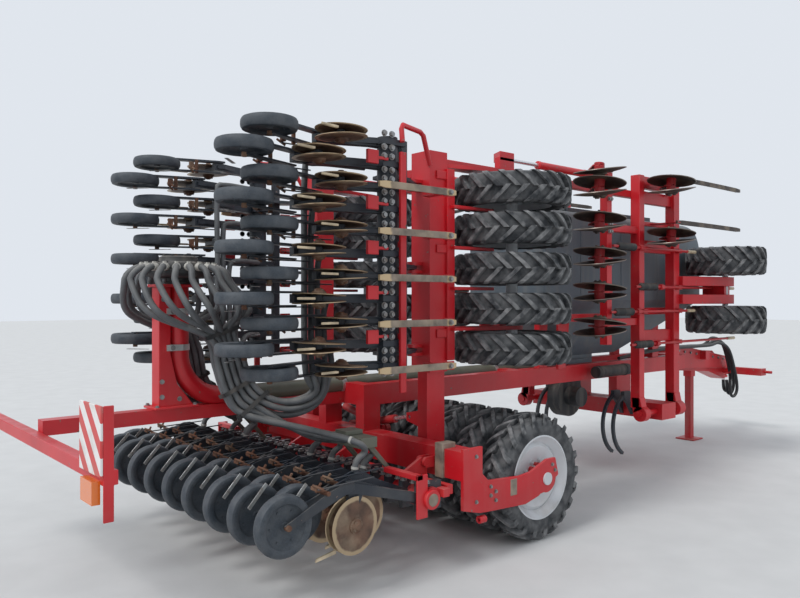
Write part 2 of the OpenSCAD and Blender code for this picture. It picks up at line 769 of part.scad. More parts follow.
center_bar_end = center_out_y;
wing_bar_ends = [wing_first_row_y - 40, wing_row_y(wing_rows - 1) + 40];

module seed_bar_center() color("#b51d22") seed_bar(center_lift_ys, [-center_bar_end, center_bar_end], center_lift_x);
module seed_bar_wing() color("#b51d22") seed_bar(wing_lift_ys, wing_bar_ends, wing_lift_x);

// Wing frame

module packer_beam_wing() color("#c01f25") {
    difference() {
        union() {
            rod_x(hinge_y, hinge_z, hinge_eye_d, [wing_beam_x, wing_beam_front_x]);
            box_at([wing_beam_x, wing_beam_front_x], [hinge_y, wing_arm_out_y], [wing_arm_z, wing_arm_z + wing_arm_h]);
        }
        rod_x(hinge_y, hinge_z, hinge_pin_d + 2 * pin_gap, [wing_beam_x - 1, wing_beam_front_x + 1]);
    }
    box_at([wing_beam_x, wing_beam_front_x], [wing_arm_out_y - 1, wing_out_y], [wing_beam_z, wing_beam_z + wing_beam_h]);
    shaft_plate(wing_beam_front_x - 1, wing_axle_x, inner_plate_y, packer_plate_t, wing_beam_z);
    shaft_plate(wing_beam_front_x - 1, wing_axle_x, outer_plate_y, packer_plate_t, wing_beam_z);
    lift_lugs(wing_beam_x, wing_lift_x, wing_lift_ys);
}

// Ears for the folding ram: the rod's eye stands between them
module ram_ears(x) {
    for (s = [-1, 1]) difference() {
        translate([x + s * 22 - 5, 0, 0]) rotate([90, 0, 90]) linear_extrude(height = 10) polygon([
            [hinge_y + ram_lug_y - 60, wing_arm_z + wing_arm_h - 1],
            [hinge_y + ram_lug_y + 60, wing_arm_z + wing_arm_h - 1],
            [hinge_y + ram_lug_y + 30, hinge_z + ram_lug_z + 30],
            [hinge_y + ram_lug_y - 30, hinge_z + ram_lug_z + 30]
        ]);
        rod_x(hinge_y + ram_lug_y, hinge_z + ram_lug_z, ram_pin_d, [x - 40, x + 40]);
    }
}

side_tube_w = 70;
side_tube_z = wing_beam_z + wing_beam_h - 20 - seat_gap;
front_beams_z = hinge_z - 50;
front_beams_h = 150;
gang_beam_z = hinge_z + 20;

module front_frame_wing() color("#c01f25") {
    for (b = [[main_beam_x, main_beam_l], [front_beam_x, front_beam_l]]) {
        difference() {
            union() {
                rod_x(hinge_y, hinge_z, hinge_eye_d, [b[0], b[0] + b[1]]);
                box_at([b[0], b[0] + b[1]], [hinge_y, wing_out_y], [front_beams_z, front_beams_z + front_beams_h]);
            }
            rod_x(hinge_y, hinge_z, hinge_pin_d + 2 * pin_gap, [b[0] - 1, b[0] + b[1] + 1]);
        }
    }
    for (y = [wing_first_tyre_y, wing_last_tyre_y - 300])
        box_at([main_beam_x + main_beam_l - 1, front_beam_x + 1], [y - 60, y + 60], [hinge_z - 40, hinge_z + 80]);
    box_at([gang_beam_x, gang_beam_x + gang_beam_w], [wing_first_tyre_y - 60, gang_out_y], [gang_beam_z, gang_beam_z + gang_beam_w]);
    for (y = [wing_first_tyre_y + 150, wing_last_tyre_y - 150])
        box_at([gang_beam_x + gang_beam_w - 1, main_beam_x + 1], [y - 35, y + 35], [gang_beam_z, gang_beam_z + gang_beam_w]);
    box_at([wing_beam_front_x + seat_gap, main_beam_x + main_beam_l], [wing_out_y - side_tube_w, wing_out_y], [side_tube_z, side_tube_z + side_tube_w]);
    front_wheel_arm();
}

harrow_hub_d = 90;

// An arm hangs from the underside of its beam; the rows are turned against each other
module harrow_arm(x_disc, y_disc, x_beam, z_beam, turn) {
    y_arm = y_disc + hub_out;
    side_plate([
        [x_beam, z_beam - seat_gap],
        [x_beam + 60, z_beam - seat_gap],
        [x_disc + 40, harrow_z - 30],
        [x_disc - 40, harrow_z - 30],
        [x_disc - 40, harrow_z + 40]
    ], [y_arm, y_arm + harrow_arm_t]);
    translate([x_disc, y_disc + seat_gap, harrow_z]) rotate([-90, 0, turn])
        cylinder(d = harrow_hub_d, h = hub_out + 20);
}

module harrow_arms_wing() color("#b51d22") {
    for (y = harrow_rear_ys) harrow_arm(harrow_rear_x, y, gang_beam_x, gang_beam_z, -harrow_angle);
    for (y = harrow_front_ys) harrow_arm(harrow_front_x, y, front_beam_x, front_beams_z, harrow_angle);
}

module harrow_disc(x, y, turn) {
    translate([x, y, harrow_z]) rotate([90, 0, turn]) cylinder(d = harrow_d, h = harrow_t, $fn = 72);
}

module harrow_discs_wing() color("#4a4038") {
    for (y = harrow_rear_ys) harrow_disc(harrow_rear_x, y, -harrow_angle);
    for (y = harrow_front_ys) harrow_disc(harrow_front_x, y, harrow_angle);
}

front_wheel_ys = [wing_first_tyre_y + 150, wing_first_tyre_y + 780];

module front_wheel_arm() {
    y_mid = (front_wheel_ys[0] + front_wheel_ys[1]) / 2;
    gap_w = front_wheel_ys[1] - front_wheel_ys[0] - front_tyre_w - 40;
    difference() {
        union() {
            side_plate([
                [front_beam_x + front_beam_l - 1, hinge_z - 40],
                [front_beam_x + front_beam_l - 1, hinge_z + 90],
                [front_wheel_x + 300, hinge_z + 90],
                [front_wheel_x + 300, hinge_z - 20],
                [front_wheel_x + 80, front_wheel_z - 60],
                [front_wheel_x - 80, front_wheel_z - 60]
            ], [y_mid - gap_w / 2, y_mid + gap_w / 2]);
        }
        rod_y(front_wheel_x, front_wheel_z, 60 + 2 * pin_gap, [0, wing_out_y]);
    }
}

module front_tyres_wing() color("#2b2d31")
    for (y = front_wheel_ys) translate([front_wheel_x, y, front_wheel_z]) tyre(front_tyre_d, front_tyre_w, front_rim_d);

module front_rims_wing() color("#d5d8da") {
    for (y = front_wheel_ys) translate([front_wheel_x, y, front_wheel_z]) rim(front_rim_d, front_tyre_w, 60);
    rod_y(front_wheel_x, front_wheel_z, 60, [front_wheel_ys[0] - 60, front_wheel_ys[1] + 60]);
}

drag_z = 285;
drag_t = 15;
drag_w = 60;
drag_rear_ys = [for (i = [0 : 4]) arm_out_y + 40 + i * tyre_pitch];
drag_tip_x = -1340;

module drag_bars_wing() color("#8a7c6a") {
    for (y = drag_rear_ys) {
        box_at([drag_tip_x, wing_beam_x + 12], [y - drag_w / 2, y + drag_w / 2], [drag_z, drag_z + drag_t]);
        box_at([wing_beam_x, wing_beam_x + 12], [y - drag_w / 2, y + drag_w / 2], [drag_z, wing_beam_z]);
    }
}

// Folding rams, lying along Y at rest

module along_ram(x, side) {
    translate([x, side * -ram_pin_y, ram_pin_z])
        mirror([0, side > 0 ? 0 : 1, 0])
            rotate([ram_tilt, 0, 0]) children();
}

module ram_barrel(x, side) color("#a81b20") along_ram(x, side) difference() {
    union() {
        rotate([-90, 0, 0]) cylinder(d = ram_d, h = ram_len - 190);
        rod_x(0, 0, ram_eye_d, [-20, 20]);
    }
    rod_x(0, 0, ram_pin_d + 2 * pin_gap, [-50, 50]);
    translate([0, 60, 0]) rotate([-90, 0, 0]) cylinder(d = ram_rod_d + 2 * pin_gap, h = ram_len);
}

module ram_rod(x, side) color("#d5d8da") along_ram(x, side) difference() {
    union() {
        translate([0, 70, 0]) rotate([-90, 0, 0]) cylinder(d = ram_rod_d, h = ram_len - 70);
        rod_x_at(ram_len, ram_eye_d, 16);
    }
    translate([-50, ram_len, 0]) rotate([0, 90, 0]) cylinder(d = ram_pin_d, h = 100);
}

module rod_x_at(y, d, half) {
    translate([-half, y, 0]) rotate([0, 90, 0]) cylinder(d = d, h = 2 * half);
}

on_ground() main_frame();
on_ground() packer_frame();
on_ground() drawbar();
on_ground() hitch_head();
on_ground() jack_leg();
on_ground() hopper();
on_ground() hopper_lid();
on_ground() fan();
on_ground() seed_pipe();
on_ground() tower();
on_ground() distributor();
on_ground() light_bar();
on_ground() warning_boards();
on_ground() lamps();
on_ground() track_tines();
on_ground() tyres_center();
on_ground() rims_center();
on_ground() seed_bar_center();
on_ground() color("#20242b") coulters(center_rear_rows, center_front_rows);  // coulters_center
on_ground() color("#7a5a3c") seed_discs(center_rear_rows, center_front_rows);  // seed_discs_center
on_ground() color("#2a3440") press_wheels(center_front_rows, stagger);  // press_front_center
on_ground() color("#2a3440") press_wheels(center_rear_rows, 0);  // press_rear_center
for (w = [["right", -1, ram_right_x], ["left", 1, ram_left_x]]) {
    on_ground() wing(w[1]) color("#c01f25") {
        packer_beam_wing();
        ram_ears(w[2]);
    }
    on_ground() wing(w[1]) front_frame_wing();
    on_ground() wing(w[1]) harrow_arms_wing();
    on_ground() wing(w[1]) harrow_discs_wing();
    on_ground() wing(w[1]) drag_bars_wing();
    on_ground() wing(w[1]) front_tyres_wing();
    on_ground() wing(w[1]) front_rims_wing();
    on_ground() wing(w[1]) tyres_wing();
    on_ground() wing(w[1]) rims_wing();
    on_ground() wing(w[1]) seed_bar_wing();
    on_ground() wing(w[1])
        color("#20242b") coulters(wing_rear_rows, wing_front_rows);
    on_ground() wing(w[1])
        color("#7a5a3c") seed_discs(wing_rear_rows, wing_front_rows);
    on_ground() wing(w[1])
        color("#2a3440") press_wheels(wing_front_rows, stagger);
    on_ground() wing(w[1])
        color("#2a3440") press_wheels(wing_rear_rows, 0);
    on_ground() ram_barrel(w[2], w[1]);
    on_ground() ram_rod(w[2], w[1]);
}
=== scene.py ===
"""Looks of a folded seed drill with a tyre packer, a disc harrow and a tall hopper.

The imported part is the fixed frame: X forward to the tractor, Y to the left, Z up, in metres, with the ground
at Z = 0. Sizes on a wing are measured at work, Y being the distance outboard, and WingSide folds them up.
"""
from __future__ import annotations

import json
import logging
import math
import random
from dataclasses import dataclass, field
from enum import Enum
from functools import cache
from typing import Iterable, Sequence

import bmesh
import bpy
from mathutils import Euler, Matrix, Vector

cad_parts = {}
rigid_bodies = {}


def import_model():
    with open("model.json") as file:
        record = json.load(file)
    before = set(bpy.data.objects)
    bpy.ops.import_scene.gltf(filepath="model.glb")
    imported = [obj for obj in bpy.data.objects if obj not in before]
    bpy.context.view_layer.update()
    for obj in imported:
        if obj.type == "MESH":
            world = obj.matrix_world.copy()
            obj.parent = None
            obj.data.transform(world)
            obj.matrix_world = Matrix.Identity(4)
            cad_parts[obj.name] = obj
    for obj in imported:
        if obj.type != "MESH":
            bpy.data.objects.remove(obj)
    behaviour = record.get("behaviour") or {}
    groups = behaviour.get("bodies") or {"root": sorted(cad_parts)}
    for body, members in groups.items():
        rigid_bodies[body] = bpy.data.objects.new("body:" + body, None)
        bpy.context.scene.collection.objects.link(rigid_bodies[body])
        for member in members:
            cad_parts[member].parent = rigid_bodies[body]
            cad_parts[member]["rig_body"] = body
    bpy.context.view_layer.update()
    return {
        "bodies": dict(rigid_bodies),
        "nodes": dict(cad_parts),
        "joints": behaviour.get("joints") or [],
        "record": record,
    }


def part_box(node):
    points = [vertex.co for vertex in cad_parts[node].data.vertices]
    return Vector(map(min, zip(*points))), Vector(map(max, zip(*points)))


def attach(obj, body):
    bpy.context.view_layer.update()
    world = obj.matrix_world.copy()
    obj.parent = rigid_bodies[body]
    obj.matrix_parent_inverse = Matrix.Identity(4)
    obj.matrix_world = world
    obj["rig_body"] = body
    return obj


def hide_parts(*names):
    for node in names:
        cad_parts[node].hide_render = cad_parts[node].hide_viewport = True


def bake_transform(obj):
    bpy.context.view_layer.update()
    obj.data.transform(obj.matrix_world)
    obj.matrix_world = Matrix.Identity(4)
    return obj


log = logging.getLogger("seed_drill")

Color = tuple[float, float, float]
Span = tuple[float, float]
Place = tuple[float, float, float]
Route = tuple[Place, ...]
Spans = tuple[Span, ...]
Box = tuple[Place, Place]
Boxes = tuple[Box, ...]
Profile = Sequence[tuple[float, ...]]
Spots = Sequence[tuple[Vector, Euler]]
Socket = bpy.types.NodeSocket
Thing = bpy.types.Object

DUST: Color = (0.36, 0.32, 0.27)
ASH: Color = (0.25, 0.25, 0.25)
EVEN: Place = (1.0, 1.0, 1.0)
# Widths of a rounded edge, how far a piece runs into what carries it, and the range of a wheel's random spin.
EDGE, FINE_EDGE, SHARP = 0.004, 0.002, 0.0
SINK = 0.001
ANY_SPIN = 6.28


class Axis(Enum):
    """The axis that a turned or extruded shape follows."""

    X = 0
    Y = 1
    Z = 2


class Nodes:
    """A node tree whose nodes are added by short calls."""

    def __init__(self, tree: bpy.types.NodeTree) -> None:
        """Takes the tree that the nodes go to."""
        self.tree = tree

    def feed(self, target: Socket, value: object) -> None:
        """Links a socket to the target, or sets the target's own value.

        Args:
            target: the input socket.
            value: a socket, a number or a colour.
        """
        if isinstance(value, bpy.types.NodeSocket):
            self.tree.links.new(value, target)
        elif isinstance(value, tuple):
            target.default_value = (*value, 1.0) if len(target.default_value) == 4 else value
        else:
            target.default_value = value

    def node(self, kind: str, inputs: dict[object, object] | None = None, **settings: object) -> bpy.types.Node:
        """Adds a node, sets its properties and feeds its inputs.

        Args:
            kind: the node's type name.
            inputs: for each input's name or number, a socket or a value.
            settings: properties of the node.

        Returns:
            The new node.
        """
        made = self.tree.nodes.new(kind)
        for key, value in settings.items():
            setattr(made, key, value)
        for key, value in (inputs or {}).items():
            self.feed(made.inputs[key], value)
        return made


class Surface(Nodes):
    """A Principled material in the making, drawn on the object's own coordinates."""

    def __init__(self, name: str) -> None:
        """Makes an empty material of that name."""
        self.material = bpy.data.materials.new(name)
        self.material.use_nodes = True
        super().__init__(self.material.node_tree)
        self.shader = self.tree.nodes["Principled BSDF"]
        self.place = self.node("ShaderNodeTexCoord").outputs["Object"]

    def noise(self, scale: float, detail: float = 4.0, stretch: Place = EVEN) -> Socket:
        """Returns noise from 0 to 1 on the object's own coordinates.

        Args:
            scale: how many spots there are in a metre.
            detail: octaves of finer spots.
            stretch: factors on the three axes.
        """
        vector = self.place
        if stretch != EVEN:
            vector = self.node("ShaderNodeMapping", {"Vector": vector, "Scale": stretch}).outputs["Vector"]
        return self.node("ShaderNodeTexNoise", {"Vector": vector, "Scale": scale, "Detail": detail}).outputs["Fac"]

    def span(self, value: object, low: float, high: float, to_low: float = 0.0, to_high: float = 1.0) -> Socket:
        """Maps a value from the range of low and high to another range and clamps it."""
        inputs = {"Value": value, "From Min": low, "From Max": high, "To Min": to_low, "To Max": to_high}
        return self.node("ShaderNodeMapRange", inputs, clamp=True).outputs["Result"]

    def math(self, kind: str, first: object, second: object = 0.0) -> Socket:
        """Returns the result of an operation on one or two values."""
        return self.node("ShaderNodeMath", {0: first, 1: second}, operation=kind).outputs[0]

    def mix(self, share: object, first: object, second: object) -> Socket:
        """Returns a colour between two; the share is how much of the second shows."""
        return self.node("ShaderNodeMix", {0: share, 6: first, 7: second}, data_type="RGBA").outputs[2]

    def axis(self, axis: Axis, source: object = None) -> Socket:
        """Returns one coordinate of the place on the object, or of another vector."""
        return self.node("ShaderNodeSeparateXYZ", {0: source or self.place}).outputs[axis.value]

    def upward(self) -> Socket:
        """Returns how far the surface faces up, from 0 to 1."""
        normal = self.node("ShaderNodeNewGeometry").outputs["Normal"]
        return self.span(self.axis(Axis.Z, normal), -0.1, 0.9)

    def mark(self) -> Socket:
        """Returns the number that a shape stored at its corners."""
        return self.node("ShaderNodeAttribute", attribute_name="mark").outputs["Fac"]

    def bump(self, height: object, depth: float, strength: float = 1.0) -> None:
        """Adds a bump to the shader's normal.

        Args:
            height: the height's socket, from 0 to 1.
            depth: the real depth of the bump.
            strength: how strongly it shows.
        """
        made = self.node("ShaderNodeBump", {"Height": height, "Distance": depth, "Strength": strength})
        before = self.shader.inputs["Normal"].links
        if before:
            self.feed(made.inputs["Normal"], before[0].from_socket)
        self.feed(self.shader.inputs["Normal"], made.outputs["Normal"])

    def show(self, color: object, rough: object, metal: object = 0.0) -> None:
        """Sets the shader's base colour, roughness and metallic share."""
        for key, value in (("Base Color", color), ("Roughness", rough), ("Metallic", metal)):
            self.feed(self.shader.inputs[key], value)


def shade(color: Color, factor: float) -> Color:
    """Returns the colour times a factor."""
    return (color[0] * factor, color[1] * factor, color[2] * factor)


@dataclass(frozen=True)
class Finish:
    """What every finish has: a name, the record's slot and a colour."""

    name: str
    slot: str
    color: Color
    rough: float = 0.5

    def dress(self, skin: Surface) -> None:
        """Adds the finish's nodes to the surface."""
        raise NotImplementedError


@dataclass(frozen=True)
class Paint(Finish):
    """Gloss machine paint under a film of road dust, with small chips."""

    dust: float = 0.45
    chips: float = 0.64
    chip_color: Color = (0.20, 0.13, 0.10)

    def dress(self, skin: Surface) -> None:
        """Adds colour drift, dust on upward faces, streaks, chips and a fine waviness."""
        drift = skin.span(skin.noise(1.7, 3.0), 0.3, 0.7)
        tone = skin.mix(drift, shade(self.color, 0.82), shade(self.color, 1.12))
        spots = skin.span(skin.noise(5.0, 8.0), 0.44, 0.72)
        streaks = skin.span(skin.noise(9.0, 5.0, (1.0, 1.0, 0.12)), 0.5, 0.78)
        facing = skin.span(skin.upward(), 0.0, 1.0, 0.22, 1.0)
        low = skin.span(skin.axis(Axis.Z), 0.2, 1.1, 1.0, 0.35)
        film = skin.math("MULTIPLY", skin.math("MAXIMUM", spots, streaks), facing)
        film = skin.math("MULTIPLY", film, skin.span(low, 0.0, 1.0, 0.3 * self.dust, 1.3 * self.dust))
        tone = skin.mix(film, tone, DUST)
        chip = skin.span(skin.noise(34.0, 6.0), self.chips, self.chips + 0.02)
        tone = skin.mix(chip, tone, self.chip_color)
        rough = skin.span(film, 0.0, 0.5, self.rough, 0.85)
        skin.show(tone, rough)
        skin.bump(skin.noise(160.0, 2.0), 0.0004, 0.35)
        skin.bump(chip, -0.0004, 0.6)


@dataclass(frozen=True)
class Rubber(Finish):
    """Tyre rubber, dusty in its hollows and along its walls."""

    dust: float = 0.5

    def dress(self, skin: Surface) -> None:
        """Adds patches of dust, worn dark lug tops and a fine grain."""
        patches = skin.span(skin.noise(13.0, 9.0), 0.36, 0.64)
        grain = skin.noise(120.0, 4.0)
        worn = skin.span(skin.mark(), 0.5, 1.0, 0.55, 1.15)
        share = skin.math("MULTIPLY", skin.math("MULTIPLY", patches, worn), self.dust)
        share = skin.math("ADD", share, skin.span(skin.upward(), 0.3, 1.0, 0.0, 0.22 * self.dust))
        tone = skin.mix(skin.span(grain, 0.3, 0.7), shade(self.color, 0.8), shade(self.color, 1.25))
        skin.show(skin.mix(share, tone, ASH), skin.span(share, 0.0, 0.6, self.rough, 0.95))
        skin.bump(grain, 0.0012, 0.5)


@dataclass(frozen=True)
class WornSteel(Finish):
    """Soil-worn steel, rusty brown in the middle and rubbed bright at its rim."""

    bright: Color = (0.46, 0.40, 0.33)
    rim_start: float = 0.86
    soil: float = 0.5

    def dress(self, skin: Surface) -> None:
        """Adds rust clouds, dried soil, turning scratches and the rubbed rim that the mark gives."""
        clouds = skin.span(skin.noise(11.0, 8.0), 0.32, 0.68)
        tone = skin.mix(clouds, shade(self.color, 0.55), shade(self.color, 1.35))
        soil = skin.math("MULTIPLY", skin.span(skin.noise(6.0, 9.0), 0.5, 0.64), self.soil)
        tone = skin.mix(soil, tone, (0.40, 0.31, 0.21))
        wander = skin.math("ADD", skin.mark(), skin.span(skin.noise(22.0, 3.0), 0.0, 1.0, -0.05, 0.05))
        rim = skin.span(wander, self.rim_start, self.rim_start + 0.06)
        tone = skin.mix(skin.math("MULTIPLY", rim, 0.85), tone, self.bright)
        skin.show(tone, skin.span(rim, 0.0, 1.0, self.rough, 0.38), skin.math("MULTIPLY", rim, 0.5))
        skin.bump(skin.noise(90.0, 6.0), 0.0012, 0.5)


@dataclass(frozen=True)
class Plastic(Finish):
    """Moulded plastic with a fine grain, faded and dusty."""

    dust: float = 0.35

    def dress(self, skin: Surface) -> None:
        """Adds fading, washed-down dust streaks and the mould's grain."""
        fade = skin.span(skin.noise(1.1, 4.0), 0.3, 0.7)
        tone = skin.mix(fade, shade(self.color, 0.88), shade(self.color, 1.15))
        streaks = skin.span(skin.noise(14.0, 6.0, (1.0, 1.0, 0.08)), 0.46, 0.8)
        film = skin.math("MULTIPLY", streaks, self.dust)
        film = skin.math("ADD", film, skin.math("MULTIPLY", skin.upward(), 0.6 * self.dust))
        skin.show(skin.mix(film, tone, DUST), skin.span(film, 0.0, 0.4, self.rough, 0.8))
        skin.bump(skin.noise(240.0, 3.0), 0.0006, 0.4)


@dataclass(frozen=True)
class HoseSkin(Finish):
    """Grey rubber hose with fine rings, its mark being the length along it."""

    rings: float = 120.0

    def dress(self, skin: Surface) -> None:
        """Adds rings by the length along the hose, rubbed spots and dust on top."""
        wave = skin.math("SINE", skin.math("MULTIPLY", skin.mark(), self.rings * 2 * math.pi))
        patches = skin.span(skin.noise(8.0, 7.0), 0.35, 0.7)
        tone = skin.mix(patches, shade(self.color, 0.75), shade(self.color, 1.3))
        dust = skin.math("MULTIPLY", skin.upward(), skin.span(patches, 0.0, 1.0, 0.1, 0.4))
        skin.show(skin.mix(dust, tone, DUST), skin.span(patches, 0.0, 1.0, self.rough, self.rough + 0.2))
        skin.bump(skin.span(wave, -1.0, 1.0), 0.0012, 0.6)


@dataclass(frozen=True)
class Striped(Finish):
    """Reflective board with slanting red and white stripes."""

    stripe: Color = (0.62, 0.05, 0.05)
    pitch: float = 0.16

    def dress(self, skin: Surface) -> None:
        """Adds the stripes on the board's own Y and Z, mirrored about the middle, and road dirt."""
        across = skin.math("ABSOLUTE", skin.axis(Axis.Y))
        slant = skin.math("DIVIDE", skin.math("ADD", across, skin.axis(Axis.Z)), self.pitch)
        red = skin.math("GREATER_THAN", skin.math("FRACT", slant), 0.5)
        tone = skin.mix(red, self.color, self.stripe)
        dirt = skin.math("MULTIPLY", skin.span(skin.noise(9.0, 8.0), 0.45, 0.75), 0.45)
        skin.show(skin.mix(dirt, tone, DUST), skin.span(dirt, 0.0, 0.4, self.rough, 0.8))
        skin.bump(skin.noise(500.0, 1.0), 0.0003, 0.3)


@dataclass(frozen=True)
class Lens(Finish):
    """Ribbed coloured lens."""

    ribs: float = 420.0

    def dress(self, skin: Surface) -> None:
        """Adds fine upright ribs, with painted shade darkening the colour in the troughs between them, and a clear
        coat.
        """
        wave = skin.math("SINE", skin.math("MULTIPLY", skin.axis(Axis.Y), self.ribs))
        deep = skin.span(wave, -1.0, 1.0)
        # painted shade: the colour drops to 0.8 of itself in the rib troughs, following the ribs' relief
        skin.show(skin.mix(deep, shade(self.color, 0.8), self.color), self.rough)
        skin.feed(skin.shader.inputs["Coat Weight"], 0.6)
        skin.bump(deep, 0.0008, 0.5)


@dataclass(frozen=True)
class Metal(Finish):
    """Bare or plated metal with light scratches."""

    stain: Color = (0.20, 0.14, 0.10)
    stained: float = 0.3

    def dress(self, skin: Surface) -> None:
        """Adds stains and fine scratches."""
        stain = skin.math("MULTIPLY", skin.span(skin.noise(25.0, 6.0), 0.45, 0.7), self.stained)
        skin.show(skin.mix(stain, self.color, self.stain), skin.span(stain, 0.0, 0.5, self.rough, 0.8), 0.8)
        skin.bump(skin.noise(300.0, 3.0), 0.0002, 0.4)


@dataclass(frozen=True)
class Floor(Finish):
    """Plain pale floor."""

    def dress(self, skin: Surface) -> None:
        """Adds a faint mottling."""
        mottle = skin.span(skin.noise(3.0, 6.0), 0.3, 0.7)
        skin.show(skin.mix(mottle, shade(self.color, 0.96), shade(self.color, 1.03)), self.rough)


RED = Paint("red_paint", "red_paint", (0.56, 0.010, 0.018), 0.34, dust=0.3, chips=0.70)
DEEP_RED = Paint("deep_red_paint", "red_paint", (0.46, 0.010, 0.016), 0.4, dust=0.5, chips=0.68)
BLUE_BLACK = Paint("blue_black_paint", "black_paint", (0.022, 0.029, 0.040), 0.42, dust=0.35, chips=0.7)
TYRE = Rubber("tyre_rubber", "tyre", (0.019, 0.022, 0.026), 0.7, dust=0.72)
PRESS = Rubber("press_rubber", "press_rubber", (0.034, 0.044, 0.056), 0.55, dust=0.28)
RIM = Paint("rim_silver", "rim_silver", (0.62, 0.64, 0.66), 0.35, dust=0.5, chips=0.75)
DISC = WornSteel(
    "harrow_steel", "disc_steel", (0.062, 0.047, 0.039), 0.6, bright=(0.24, 0.20, 0.17), rim_start=0.93, soil=0.3,
)
SEED_DISC = WornSteel(
    "seed_disc_steel", "disc_steel", (0.135, 0.072, 0.044), 0.6, bright=(0.50, 0.38, 0.24), rim_start=0.82, soil=0.4,
)
BAR = WornSteel("bar_steel", "bar_steel", (0.23, 0.185, 0.145), 0.6, bright=(0.62, 0.46, 0.27), rim_start=0.6)
TANK = Plastic("tank_plastic", "tank_plastic", (0.105, 0.135, 0.160), 0.42)
LID = Plastic("lid_plastic", "lid_plastic", (0.060, 0.075, 0.090), 0.5)
BLACK_PLASTIC = Plastic("black_plastic", "black_plastic", (0.022, 0.024, 0.027), 0.5)
PIPE = Paint("pipe_paint", "pipe_paint", (0.135, 0.14, 0.105), 0.4)
HOSE = HoseSkin("hose_rubber", "black_plastic", (0.105, 0.112, 0.118), 0.5)
OIL_HOSE = HoseSkin("oil_hose_rubber", "black_plastic", (0.022, 0.024, 0.027), 0.45, rings=0.0)
BOARD = Striped("board_sheet", "board_white", (0.78, 0.76, 0.74), 0.4)
LAMP = Lens("lamp_lens", "lamp_orange", (0.85, 0.20, 0.02), 0.2)
CHROME = Metal("rod_chrome", "rod_chrome", (0.75, 0.76, 0.78), 0.14, stained=0.1)
COLLAR = Plastic("hose_collar", "board_white", (0.50, 0.49, 0.45), 0.5, dust=0.5)
ZINC = Metal("zinc_plate", "rim_silver", (0.62, 0.63, 0.62), 0.35)
TONGUE = WornSteel("tongue_steel", "bar_steel", (0.52, 0.42, 0.28), 0.5, rim_start=2.0, soil=0.3)
STRIP = Metal("strip_zinc", "rim_silver", (0.50, 0.51, 0.50), 0.45, stained=0.6)
NUT = Metal("nut_zinc", "bar_steel", (0.30, 0.30, 0.30), 0.35, stained=0.5)
RUST = WornSteel("rusty_bracket", "bar_steel", (0.13, 0.055, 0.030), 0.75, rim_start=2.0, soil=0.25)
FLOOR = Floor("floor", "", (0.60, 0.60, 0.59), 0.8)


@cache
def material_of(finish: Finish) -> bpy.types.Material:
    """Makes a finish's material once and returns it."""
    skin = Surface(finish.name)
    finish.dress(skin)
    return skin.material


def linked(name: str, data: bpy.types.ID) -> Thing:
    """Returns a new object of the data, linked to the scene."""
    made = bpy.data.objects.new(name, data)
    bpy.context.scene.collection.objects.link(made)
    return made


def creased(mesh: bpy.types.Mesh, angle: float) -> None:
    """Makes a mesh smooth, with sharp edges past an angle in degrees."""
    mesh.polygons.foreach_set("use_smooth", [True] * len(mesh.polygons))
    mesh.set_sharp_from_angle(angle=math.radians(angle))


def flip(sign: int) -> Matrix:
    """Returns the mirror image across the machine's middle where the sign is -1, and no change where it is 1."""
    return Matrix.Scale(sign, 4, (0, 1, 0))


def upright(at: Sequence[float]) -> Matrix:
    """Returns the matrix that stands a shape drawn round Y up at a place."""
    return Matrix.Translation(at) @ Matrix.Rotation(math.pi / 2, 4, "X")


def lengthwise(at: Sequence[float]) -> Matrix:
    """Returns the matrix that lays a shape drawn round Y along X, from a place on."""
    return Matrix.Translation(at) @ Matrix.Rotation(-math.pi / 2, 4, "Z")


def circle(count: int, radius: float, share: float = 0.0) -> list[Span]:
    """Returns even spots on a circle, the first turned by a share of a step."""
    angles = [2 * math.pi * (i + share) / count for i in range(count)]
    return [(radius * math.cos(angle), radius * math.sin(angle)) for angle in angles]


